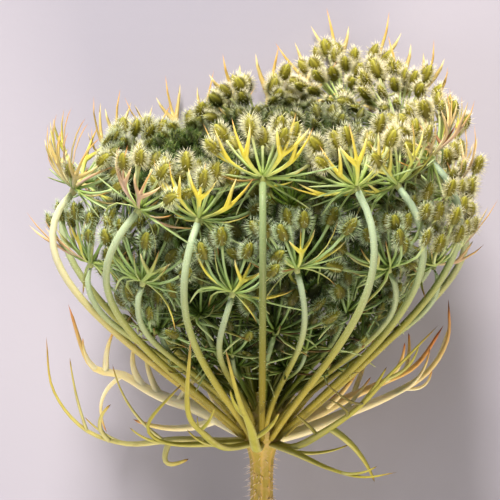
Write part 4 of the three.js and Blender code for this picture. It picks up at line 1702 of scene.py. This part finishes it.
    def hides(self, belly: Vec, points: Line, room: float) -> bool:
        """Whether a fruit would stand outside any of the points, near its line of sight.

        Args:
            belly: The place of the fruit's middle.
            points: What should be seen.
            room: How near to the line of sight is too near.

        Returns:
            True where it would hide one of them.
        """
        away = belly - points
        outwards = unit(points * LEVEL)
        depth = (away * outwards).sum(1)
        aside = np.linalg.norm(away - depth[:, None] * outwards, axis=1)
        return bool(((depth > self.hidden_from) & (aside < room)).any())

    def reach(self, belly: Vec) -> tuple[Line, Vec]:
        """Draws the stalk of a fruit whose middle stands at a chosen place.

        Args:
            belly: The place.

        Returns:
            The stalk's line and the fruit's direction.
        """
        ray = self.ray
        course = unit(UP + self.chosen_lean * ray.outward)
        foot = belly - self.belly * course
        span = np.linalg.norm(foot - ray.hub)
        leave = unit(foot - ray.hub + self.chosen_lean * span * ray.outward)
        near, far = ray.hub + self.chosen_reach * span * leave, foot - self.chosen_reach * span * course
        return bezier(np.array([ray.hub, near, far, foot]), np.linspace(0, 1, self.fruit_steps + 1)), course

    def gather(self) -> None:
        """Gathers the ray, the hub and every limb."""
        ray, rng = self.ray, self.rng
        usual = (ray.tier.warmth * drawn(rng, self.warmth_share), 0.0, self.ray_warmth)
        warmth, blush, ray_warmth = TINTS.get(ray.number, usual)
        if ray.rear:
            warmth, blush = self.rear_tint
        self.add_ray(ray_warmth)
        for belly in BESIDE.get(ray.number, ()):
            self.add_fruit(*self.reach(np.array(belly)))
        for stalks in self.rings():
            for sector in stalks.places:
                found = self.settle_fruit(stalks, sector)
                if found:
                    self.add_fruit(*found)
        for tip in REACHING.get(ray.number, ()):
            self.add_reaching(np.array(tip), Fork.TWO, self.reaching_width, self.reaching_tint)
        for k, tip in enumerate(FAN.get(ray.number, ())):
            self.add_reaching(np.array(tip), Fork.ONE, self.fan_width, self.fan_tints[k % 2])
        for sector in range(self.sectors):
            self.add_bracteole(sector, warmth, blush)
        for k in range(ray.tier.drooping):
            self.add_drooping(k)
        for k in range(self.bare_count if ray.open else 0):
            self.add_bare(self.scattered(k, self.bare_count))

    def add_ray(self, warmth: float) -> None:
        """Adds the ray itself with its hub and its hairs.

        Args:
            warmth: How yellow it is.
        """
        ray = self.ray
        course = unit(ray.line[1] - ray.line[0])
        root, end = ray.line[0] - self.sink * course, ray.hub - self.sink * ray.axis
        line = np.concatenate([[root], ray.line[1:-1], [end]])
        # The dimmed ray's blush carries painted shade, on the ray and on its hub.
        painted_dimming = float(ray.number == self.painted_shade_ray)
        width = self.umbel.slimness * ray.tier.thickness
        self.sheaf.add(self.shapes.rays.bent(line, ray.side, width), (warmth, painted_dimming, self.rng.random()))
        self.sheaf.add(self.shapes.hubs.placed(ray.hub, ray.axis, ray.side, width), (warmth, painted_dimming, 0.5))
        if ray.open:
            self.add_down()

    def add_down(self) -> None:
        """Roughens the ray with short stiff hairs that lean towards its star."""
        rng = np.random.default_rng(DOWN_SEED + self.ray.number)
        hair = self.shapes.bristles.copy(self.shapes.bristles.points * self.down_size)
        line = self.ray.line
        radius = self.umbel.ray_radius * self.umbel.slimness * self.ray.tier.thickness
        for _ in range(self.down_count):
            place = self.down_start + (len(line) - 2 - self.down_start) * rng.random()
            low = int(place)
            course = unit(line[low + 1] - line[low])
            across = unit(np.cross(course, rng.standard_normal(3)))
            spot = line[low] + (place - low) * (line[low + 1] - line[low])
            root = spot + across * (radius - self.down_root)
            way = unit(across + drawn(rng, self.down_lean) * course)
            if LAID.height(root) > self.down_lift:
                grown = hair.placed(root, way, course, drawn(rng, self.down_length))
                self.sheaf.add(grown, self.down_tint)

    def add_fruit(self, line: Line, course: Vec) -> None:
        """Adds a pedicel with its fruit.

        Args:
            line: The pedicel's line.
            course: The fruit's direction.
        """
        ray, rng = self.ray, self.rng
        x, y, height = line[-1]
        # The warmth picks the painted lit copies of the stalk and the fruit: more towards the top, the right
        # and the rim's far side, a little at random.
        warmth = 0.0
        if not ray.young:
            warmth = self.painted_light_most * smoothstep(height, *self.painted_light_heights)
            warmth += self.painted_light_most * smoothstep(x, *self.painted_light_side)
            warmth = float(warmth + self.warm_chance * rng.random())
        warmth = min(1.0, warmth + self.rear_painted_light * ray.rear)
        side = unit(np.cross(ray.axis, line[-1] - line[0] + 0.01))
        self.sheaf.add(self.shapes.pedicels.bent(line, side), (warmth, 0, rng.random()))
        burrs = self.shapes.young_burrs if ray.young else self.shapes.burrs
        turned = self.flank_turn * smoothstep(x, *self.flank) * (y < self.front)
        level = unit(np.array([x, y - turned, 0.0]))
        facing = unit(np.cross(course, level)) + self.facing_chance * rng.standard_normal(3)
        scale = drawn(rng, self.young_scale if ray.young else self.scale)
        burr = burrs[rng.integers(len(burrs))].placed(line[-1] - self.seat * course, course, facing, scale)
        self.sheaf.add(burr, (warmth, 0, rng.random()))

    def add_bracteole(self, sector: int, warmth: float, blush: float) -> None:
        """Adds one bracteole: a forked one that rises on the outer side, a plainer one elsewhere.

        Args:
            sector: Where it stands on the hub.
            warmth: How yellow the umbellet's bracteoles are.
            blush: How pink.
        """
        ray, rng, name = self.ray, self.rng, self.ray.tier.name
        turn = self.turn_at(sector) + self.turn_chance * rng.standard_normal()
        outer = ray.faces_out(turn) > self.outer_side and name in WIDE_TIERS
        broad = (outer and name == "rim") or (sector % 2 == 1 and not ray.young and name != "lower")
        full = 1.0 if name == "rim" else self.middle_share
        share = full if broad else drawn(rng, self.plain_share)
        slim = ray.rear and outer and ray.hub[0] < self.rear_left
        long = ray.rear and outer and not slim
        share *= self.slim_share if slim else self.rear_share if long else 1.0
        stalks = self.rising if outer else self.bracteoles
        line = self.limb(stalks, sector, turn, share, self.strap_steps)
        if name != "rim" and ray.open:
            over = np.maximum((line - line[0]) @ ray.outward - self.bulge, 0)
            line = line - self.turn_aside * over[:, None] * ray.outward
        line = LAID.bent_clear(line, self.strap_lift)
        if name not in WIDE_TIERS and self.meets_nest(line):
            return
        side = unit(np.cross(ray.axis, line[4] - line[0]))
        fork, width = Fork.ONE, self.plain_width
        if broad:
            fork = Fork.THREE if rng.random() < self.three_share else Fork.TWO
            width = drawn(rng, self.forked_width) * (self.rear_width if long else 1.0)
            side = side if rng.random() < 0.5 else -side
            if name == "middle" and rng.random() < self.bright_share:
                warmth = self.bright_warmth
        warmth *= (1.0 if broad else self.plain_warmth) * (self.slim_warmth if slim else 1.0)
        dry = not outer and chance(ray.seed + 3.1 * sector) < self.dry_share
        luck = rng.random() + (self.dry_luck if dry else 0.0)
        self.sheaf.add(self.shapes.straps[fork].bent(line, side, width), (warmth, blush, luck))

    def add_reaching(self, tip: Vec, fork: Fork, width: float, tint: Tint) -> None:
        """Adds one bracteole whose tip stands at a chosen place, bowed on its way.

        Args:
            tip: The place.
            fork: How it ends.
            width: How wide it is.
            tint: Its warmth, blush and luck.
        """
        ray = self.ray
        chord = tip - ray.hub
        bow = ray.outward if tip[2] > self.chosen_height else -UP
        sag = self.chosen_sag * np.linalg.norm(chord) * bow
        bends = [ray.hub + part * chord + sag for part in self.chosen_bends]
        line = bezier(np.array([ray.hub, *bends, tip]), np.linspace(0, 1, self.strap_steps + 1))
        strap = self.shapes.straps[fork].bent(line, unit(np.cross(ray.outward, chord)), width)
        self.sheaf.add(strap, tint)

    def meets_nest(self, line: Line) -> bool:
        """Whether a limb comes too near to the nest's outside."""
        return bool((NEST.room(line) < self.nest_room).any())

    def swayed(self, line: Line, aside: Vec, sway: float, waves: float) -> Line:
        """Lets a thin limb sway aside on its way, clear of the surface.

        Args:
            line: Its line.
            aside: The direction.
            sway: How far it goes.
            waves: How often it turns back.

        Returns:
            The swayed line.
        """
        swing = sway * np.sin(np.linspace(0, math.pi * waves, len(line)))
        return LAID.bent_clear(line + unit(aside) * swing[:, None], self.thin_lift)

    def scattered(self, k: int, count: int) -> float:
        """A random turn in radians, in the k-th of so many sectors of the hub."""
        return (k + self.scatter * self.rng.random()) / count * TURN

    def add_drooping(self, k: int) -> None:
        """Adds one thin bracteole that hangs from the hub beside the ray and sways aside.

        Args:
            k: Its number on the hub.
        """
        ray, rng = self.ray, self.rng
        turn = self.scattered(k, ray.tier.drooping)
        line = self.limb(self.drooping[k % 3], k, turn, 1.0, self.droop_steps)
        if self.meets_nest(line) and (line[-1] - line[0]) @ ray.outward > self.droop_out:
            return
        aside = np.cross(ray.axis, line[5] - line[0])
        line = self.swayed(line, aside, (rng.random() - 0.5) * self.droop_sway, self.droop_waves)
        hanging = self.shapes.stalks if k % 3 else self.shapes.straps[Fork.ONE]
        width = self.low_width if ray.tier.name in ("middle", "lower") else self.thin_width
        # Lower hanging limbs take more of the warm run as painted light.
        warmth = self.droop_warmths[k % 2] + self.low_painted_light * (ray.hub[2] < self.low_height)
        self.sheaf.add(hanging.bent(line, unit(aside), width), (warmth, 0, 0.5 * rng.random()))

    def add_bare(self, turn: float) -> None:
        """Adds one thin stalk without a fruit, which stands out level from the hub.

        Args:
            turn: Its turn round the ray's axis, in radians.
        """
        ray, rng = self.ray, self.rng
        if ray.faces_out(turn) > self.bare_side:
            return
        line = self.limb(self.bare, turn, turn, drawn(rng, self.bare_share), self.strap_steps)
        across = np.cross(ray.axis, line[-1] - line[0])
        line = self.swayed(line, across, self.bare_sway * (rng.random() - 0.5), self.bare_waves)
        if ray.tier.name != "rim" and self.meets_nest(line):
            return
        stalk = self.shapes.stalks.bent(line, unit(np.cross(ray.axis, line[-1] - line[0])), self.thin_width)
        self.sheaf.add(stalk, (drawn(rng, self.bare_warmth), 0, rng.random()))


# ---- The bracts ----


@dataclass(frozen=True)
class Lobe:
    """A thread that branches off a bract's rib."""

    place: float  # along the rib, from 0 to 1
    length: float
    leave: Direction  # its course at the rib: right, back and up
    arrive: Direction  # its course at its tip
    width: float = 1.0
    dry: float = 0.0  # how brown it has dried, from 0 to 1


@dataclass(frozen=True)
class Bract:
    """One pinnate bract: a curved rib with thread lobes."""

    way: tuple[Direction, ...]  # what the rib passes: right, back and up from the base of the rays
    lobes: tuple[Lobe, ...]
    warmth: float = 0.0  # how pale it is: papery, partly brightened as painted backlight
    blush: float = 0.0  # how orange
    width: float = 1.0


BRACTS = (
    Bract(((-0.8, -7.5, -0.6), (-1.6, -14, 4.5), (-3.2, -22, 11), (-5, -28, 20)), (
        Lobe(0.42, 7, (0.8, -0.4, 0.5), (0.3, -0.5, 1)),
        Lobe(0.62, 5, (-0.7, -0.2, 0.6), (-0.1, 0, 1), 0.8)), width=0.95),
    Bract(((4.6, -6, -1.6), (9.6, -10, -2.7), (14.3, -13, -3), (19, -15, -1.6)), (
        Lobe(0.22, 9, (0.95, 0, -0.2), (0.95, 0, 0.45), 0.9),
        Lobe(0.6, 6, (0.7, -0.5, 0), (0.8, -0.2, 0.6), 0.8)), width=0.8),
    Bract(((4.6, -4, -1.4), (9.1, -7, 2), (13.7, -10.5, 6.6), (18, -12.5, 12), (24.6, -13, 19.3)), (
        Lobe(0.42, 12, (0.7, 0.3, -0.5), (0.35, 0.1, -1), 1.3),
        Lobe(0.34, 6, (-0.4, -0.5, 0.7), (-0.8, -0.3, 0.7), 0.7, 0.6),
        Lobe(0.62, 10.5, (-0.2, -0.5, 0.1), (-0.9, -0.1, 0.9), 0.6, 0.9),
        Lobe(0.52, 8, (0.1, -0.5, 0.3), (-0.95, -0.2, 0.5), 0.6, 0.8),
        Lobe(0.6, 7, (0.8, 0.2, 0.9), (0.5, 0, 1), 1.0),
        Lobe(0.78, 8, (0.9, -0.1, 0.3), (0.2, 0, 1), 0.9)), width=1.05),
    Bract(((6.3, 1, -0.4), (12.5, 2.5, 1.8), (18.5, 3.5, 4), (24, 4, 7.4), (27, 4, 12.5), (27, 4, 18.5)), (
        Lobe(0.3, 8, (0.8, 0.6, 0.6), (0.7, 0.2, 1), 1.2),
        Lobe(0.5, 11.5, (0.8, -0.2, 0.3), (0.1, 0, 1), 1.0),
        Lobe(0.56, 7.5, (1, 0, -0.2), (0.1, 0, 1), 0.9),
        Lobe(0.72, 6, (0.4, 0.7, 0.7), (0.3, 0.2, 1), 0.9)), 0.9, 0.2, 1.6),
    Bract(((6, 6, -0.6), (12, 10, 1.4), (18, 12, 3.6), (23, 13, 6), (27, 13.5, 12)), (
        Lobe(0.3, 9, (0.8, -0.2, 0.7), (0.5, -0.1, 1), 1.2),
        Lobe(0.45, 10, (0.3, 0.7, 0.6), (0.4, 0.3, 1), 1.0),
        Lobe(0.6, 9, (0.7, -0.5, 0.6), (0, -0.2, 1), 1.0),
        Lobe(0.72, 7, (0.3, 0.8, 0.5), (-0.1, 0.3, 1), 0.9)), 0.8, 0.7, 1.55),
    Bract(((3, 6.5, -1), (5.5, 11.5, -0.6), (6, 16, 2.5), (5, 18.5, 11)), (
        Lobe(0.35, 9, (0.9, 0.3, 0), (0.7, 0.2, 0.8), 1.1),
        Lobe(0.6, 7, (-0.8, 0.3, 0.4), (-0.3, 0, 1), 0.9)), 0.95, 0.2, 1.2),
    Bract(((-3, 6.5, -1), (-6, 11.5, -0.6), (-8, 16, 2.5), (-8.5, 17, 11)), (
        Lobe(0.35, 10, (-0.9, 0.2, 0), (-0.8, 0.1, 0.7), 1.1),
        Lobe(0.6, 7, (0.7, 0.3, 0.5), (0.2, 0, 1), 0.9)), 0.95, 0.1, 1.2),
    Bract(((-8.9, 6, 1.2), (-13.1, 9, 1.7), (-16.7, 11, 2.7), (-20.5, 12, 4.7), (-25.4, 12, 6.4),
           (-28.4, 10.5, 16)), (
        Lobe(0.1, 14, (-1, 0.1, -0.5), (-0.9, 0, 0.4), 1.9),
        Lobe(0.52, 8.5, (-0.8, 0.2, 0.8), (0.4, 0.1, 1), 1.6),
        Lobe(0.42, 7.5, (-0.6, 0.3, 0.8), (0, 0.1, 1), 1.5),
        Lobe(0.3, 6, (0.4, -0.2, 0.9), (0.9, 0, 0.8), 1.8),
        Lobe(0.74, 6.5, (-0.1, 0.1, 1), (0.5, 0, 1), 1.4),
        Lobe(0.66, 12, (-0.9, -0.3, -0.5), (0.5, -0.2, -1), 1.1),
        Lobe(0.8, 7, (-0.5, -0.5, 0.5), (0, 0, 1), 0.9)), 0.82, 0.0, 1.9),
    Bract(((-6.1, 0.3, -1.8), (-12.4, 0, -1.5), (-19.6, -0.5, -2), (-26, 0, 0.3), (-30.2, 0, 6.2),
           (-31, 0, 14)), (
        Lobe(0.56, 9, (-0.7, -0.5, 0.8), (0.9, -0.2, 0.9), 1.2),
        Lobe(0.36, 11.5, (-0.5, -0.4, -1), (1, 0, 0.5), 1.5),
        Lobe(0.38, 15, (-0.9, -0.2, 0.7), (-0.2, 0, 1), 0.8),
        Lobe(0.64, 12, (-0.3, -0.3, 1), (-0.1, 0, 1), 0.75),
        Lobe(0.5, 8, (-0.9, 0.5, 0.1), (-0.7, 0.3, 0.7), 0.8)), 0.25),
    Bract(((-6.1, -3.4, -1), (-12.4, -6.4, -0.2), (-15.6, -7.2, 1.2), (-15.9, -7.5, 3.8), (-11, -8, 9.6)), (
        Lobe(0.45, 6.5, (-0.9, -0.3, 0.1), (-0.7, 0, 0.7), 0.8),
        Lobe(0.24, 5, (-0.8, -0.2, 0.9), (0, 0, 1), 0.6))),
    Bract(((-5.2, -8, -0.2), (-8, -13.5, 3.4), (-10.3, -20, 9), (-9.7, -26.5, 21)), (
        Lobe(0.3, 6, (-0.8, -0.3, 0.1), (-0.6, 0, 0.8), 0.8),
        Lobe(0.55, 5, (0.6, -0.4, 0.6), (0.2, -0.2, 1), 0.7))),
)


def through(points: Line, steps: int) -> Line:
    """A smooth curve through points.

    Args:
        points: What it passes.
        steps: How many stretches it has between two points.

    Returns:
        Its points.
    """
    padded = np.concatenate([[2 * points[0] - points[1]], points, [2 * points[-1] - points[-2]]])
    curve = []
    for i in range(len(points) - 1):
        before, start, end, after = padded[i:i + 4]
        controls = np.array([start, start + (end - before) / 6, end - (after - start) / 6, end])
        curve.append(bezier(controls, np.linspace(0, 1, steps, endpoint=False)))
    return np.concatenate([*curve, [points[-1]]])


@dataclass
class Involucre:
    """The fringe of bracts under the head."""

    shapes: Shapes
    first: float = 356.0  # azimuth where the first is rooted
    collar_radius: float = 1.5
    collar_height: float = -1.6
    clearance: float = 0.76  # from the surface to a middle line
    rib_steps: int = 8
    lobe_steps: int = 16
    dryness: float = 6.0  # the luck that a dry lobe gets over the others

    def rib(self, bract: Bract, number: int) -> Line:
        """The middle line of a bract's rib, from inside the collar to its tip.

        Args:
            bract: The bract.
            number: Its number, from 1.

        Returns:
            The points.
        """
        azimuth = (self.first + (number - 1) * 360 / len(BRACTS)) * DEGREE
        root = around(azimuth, self.collar_radius, self.collar_height)
        line = through(np.array([root, *bract.way]), self.rib_steps)
        return LAID.bent_clear(line, self.clearance)

    def lobe(self, rib: Line, lobe: Lobe) -> Line:
        """The middle line of one lobe of a bract.

        Args:
            rib: The rib's line.
            lobe: The lobe.

        Returns:
            The points.
        """
        root = rib[round(lobe.place * (len(rib) - 1))]
        leave, arrive = unit(np.array(lobe.leave)), unit(np.array(lobe.arrive))
        line = spray(root, leave, arrive, lobe.length, self.lobe_steps)
        return LAID.bent_clear(line, self.clearance)

    def build(self, finish: Material) -> None:
        """Builds every bract as a piece of its own and sets it in place of its node.

        Args:
            finish: The bracts' material.
        """
        for number, bract in enumerate(BRACTS, 1):
            rng = np.random.default_rng(BRACT_SEED + number)
            luck = rng.random()
            sheaf = Sheaf()
            rib = self.rib(bract, number)
            sideways = unit(np.cross(UP, rib[6] - rib[0]))
            blade = self.shapes.ribs.bent(rib, sideways, bract.width)
            sheaf.add(blade, (bract.warmth, bract.blush, luck))
            for lobe in bract.lobes:
                thread = self.shapes.threads.bent(self.lobe(rib, lobe), sideways, lobe.width)
                dried = luck + self.dryness * lobe.dry
                sheaf.add(thread, (bract.warmth * (1 - lobe.dry), bract.blush, dried))
            seat(sheaf.piece(f"thread_bract_{number:02d}", [finish]), "bract", f"bract_{number:02d}")


# ---- The stem ----


@dataclass
class Peduncle:
    """The ribbed, bristly stem with the receptacle that carries the rays.

    Heights are measured from where the rays spring.
    """

    shapes: Shapes
    radius: float = 1.65
    cut_radius: float = 1.5675  # at the rounded edge of the cut
    cut_edge: float = 0.25  # height of that edge
    straight: Pair = (3.0, 7.0)  # where the straight part starts over the cut and ends
    rings: int = 16
    neck: Profile = ((-4.5, 1.75), (-3.0, 2.1), (-1.6, 2.75), (-0.5, 3.4))
    dome_height: float = 5.9
    dome_radius: float = 3.75
    dome_angles: tuple[int, ...] = (4, 22, 44, 66, 80)
    ribs: int = 8
    sides: int = 32
    groove: float = 0.12  # part of the radius that a furrow loses in its middle
    furrows: Row = (0.6, 1.0, 0.6)  # how deep each column between two ribs is, as part of that
    furrow_end: float = -4.0
    furrow_shade: float = 0.25
    pith: float = 1.05
    pith_depth: float = 0.25
    hairs: int = 900
    hair_width: float = 2.0  # against a bristle's
    hair_length: float = 1.15
    hair_share: Pair = (0.4, 0.9)  # of that, and how far they point down: the least, and what chance adds
    hair_droop: Pair = (0.15, 0.35)
    hair_scatter: Pair = (0.22, 0.12)  # of their places off the ribs and of their directions
    hair_root: float = 0.12  # how deep they are rooted
    hair_ends: Pair = (1.5, 2.0)  # how far from the cut and from the rays they stop
    hair_room: float = 1.2  # how far out the surface is felt

    def body(self) -> Pattern:
        """The stem from its cut end to the top of the receptacle.

        Returns:
            The stem.
        """
        length = LAID.stem_length
        bench = Bench(self.sides, self.cut_radius)
        heights = (self.cut_edge, *np.linspace(self.straight[0], length - self.straight[1], self.rings))
        bench.turned([(z, self.radius) for z in heights])
        bench.turned([(length + z, radius) for z, radius in self.neck])
        for angle in self.dome_angles:
            rise, radius = math.sin(angle * DEGREE), math.cos(angle * DEGREE)
            bench.draw_out(length + self.dome_height * rise, self.dome_radius * radius)
        bench.turned([(length + self.dome_height, 0)])
        for first, share in enumerate(self.furrows, 1):
            bench.groove(self.sides // self.ribs, first, self.groove * share, -0.1, length + self.furrow_end)
        bench.pick("FACE", lambda centre, normal: centre.z < 0.01 and normal.z < -0.9)
        for grown, sunk in ((self.pith / self.radius, 0.0), (0.6, self.pith_depth)):
            bpy.ops.mesh.extrude_region_move(TRANSFORM_OT_translate={"value": (0, 0, sunk)})
            bpy.ops.transform.resize(value=(grown, grown, 1), center_override=(0, 0, 0))
        whole = bench.done()
        whole.points[:, 2] -= length
        on_rib = columns(whole.points, self.sides) % (self.sides // self.ribs) == 0
        whole.edge = np.where(on_rib, 1.0, self.furrow_shade)
        return whole

    def add_hairs(self, sheaf: Sheaf) -> None:
        """Adds the stiff hairs that stand out from the ribs, where they clear the surface.

        Args:
            sheaf: What they are added to.
        """
        rng = np.random.default_rng(HAIR_SEED)
        bristle = self.shapes.bristles
        length = LAID.stem_length
        for _ in range(self.hairs):
            z = -length + self.hair_ends[0] + (length - sum(self.hair_ends)) * rng.random()
            rib = rng.integers(self.ribs)
            turn = (rib + self.hair_scatter[0] * rng.standard_normal()) * TURN / self.ribs
            out = np.array([math.cos(turn), math.sin(turn), 0.0])
            droop = drawn(rng, self.hair_droop)
            way = unit(out - UP * droop + self.hair_scatter[1] * rng.standard_normal(3))
            root = out * (self.radius - self.hair_root) + UP * z
            size = [self.hair_width, self.hair_width, self.hair_length * drawn(rng, self.hair_share)]
            hair = bristle.copy(bristle.points * size, slots=np.ones_like(bristle.slots))
            if LAID.height(root + way * self.hair_room) > 0:
                sheaf.add(hair.placed(root, way, UP), (0, 0, 0))

    def build(self, finishes: list[Material]) -> None:
        """Builds the stem and its hairs, and sets them in place of its node.

        Args:
            finishes: The materials of the stem and of its hairs.
        """
        body = self.body()
        at_cut = body.points[:, 2] < -LAID.stem_length + 0.3
        inside = np.linalg.norm(body.points[:, :2], axis=1) < self.pith * 1.02
        sheaf = Sheaf()
        sheaf.add(body, (0, 0, 0))
        sheaf.tints[0][at_cut & inside, 0] = 1.0
        self.add_hairs(sheaf)
        seat(sheaf.piece("ribbed_peduncle", finishes), "stem", "peduncle")


# ---- The studio ----


@dataclass(frozen=True)
class Lamp:
    """A square area light that faces the head; lengths are in metres."""

    name: str
    place: tuple[float, float, float]
    size: float
    power: float
    tone: str

    def hang(self, target: tuple[float, float, float]) -> None:
        """Hangs the light so that it faces a target.

        Args:
            target: The place that it faces.
        """
        light = bpy.data.lights.new(self.name, "AREA")
        light.shape = "SQUARE"
        light.size = self.size
        light.energy = self.power
        light.color = colour(self.tone)[:3]
        lamp = added(self.name, light)
        lamp.location = self.place
        way = Vector(np.array(target) - np.array(self.place))
        lamp.rotation_euler = way.to_track_quat("-Z", "Y").to_euler()


@dataclass
class Studio:
    """The pale floor, the soft lights and the camera that looks down on the head; lengths are in metres."""

    target: tuple[float, float, float] = (-0.0017, 0.03135, 0.02502)
    distance: float = 0.45
    view_width: float = 0.0714  # seen across at the target
    sensor: float = 36.0  # in millimetres
    floor_size: float = 3.0
    lamps: tuple[Lamp, ...] = (
        Lamp("key", (-0.14, 0.9, 0.58), 0.3, 27.0, "FFF3E2"),
        Lamp("side", (0.25, -0.75, 0.4), 0.4, 8.5, "FFEED0"),
        Lamp("fill", (-0.6, -0.2, 0.8), 0.8, 1.5, "E0ECFF"),
        Lamp("low", (-0.75, -0.1, 0.28), 0.35, 2.0, "FFF2DC"),
    )
    room_tone: str = "F4ECD2"
    room_light: float = 0.115

    def floor(self) -> None:
        """Lays the floor."""
        bpy.ops.object.select_all(action="DESELECT")
        bpy.ops.mesh.primitive_plane_add(size=self.floor_size, location=(0, 0, 0))
        floor = bpy.context.object
        floor.name = "studio_floor"
        dye = Dye("pale paper", 0.9)
        dye.relief(dye.grain(1.5), 0.02)
        clouds = dye.ramp(dye.grain(60.0, 1.0), ((0.3, "A3A3B8"), (0.7, "A8A8BC")))
        floor.data.materials.append(dye.finish(clouds))

    def lights(self) -> None:
        """Hangs the lights and sets the soft light of the room."""
        for lamp in self.lamps:
            lamp.hang(self.target)
        world = bpy.data.worlds.new("room")
        world.use_nodes = True
        background = world.node_tree.nodes["Background"]
        background.inputs["Color"].default_value = colour(self.room_tone)
        background.inputs["Strength"].default_value = self.room_light
        bpy.context.scene.world = world
        bpy.context.scene.view_settings.view_transform = "Standard"

    def camera(self) -> None:
        """Sets the camera over the head, looking straight down."""
        eye = bpy.data.cameras.new("camera")
        eye.sensor_width = self.sensor
        eye.lens = self.sensor * self.distance / self.view_width
        eye.clip_start = 0.01
        eye.clip_end = 10
        camera = added("camera", eye)
        x, y, z = self.target
        camera.location = (x, y, z + self.distance)
        bpy.context.scene.camera = camera

    def build(self) -> None:
        """Builds the floor, the lights and the camera."""
        self.floor()
        self.lights()
        self.camera()


def main() -> None:
    """Builds the flower and its studio."""
    logging.basicConfig(level=logging.INFO, format="%(message)s")
    studio = Studio()
    studio.build()
    shapes = Shapes()
    shapes.make()
    Peduncle(shapes).build([StemFinish().material(), HairFinish().material()])
    Involucre(shapes).build(BractFinish().material())
    kinds = (RayFinish, PedicelFinish, BracteoleFinish, FruitFinish, BristleFinish)
    Umbel(shapes).build([kind().material() for kind in kinds])


if __name__ == "__main__":
    main()
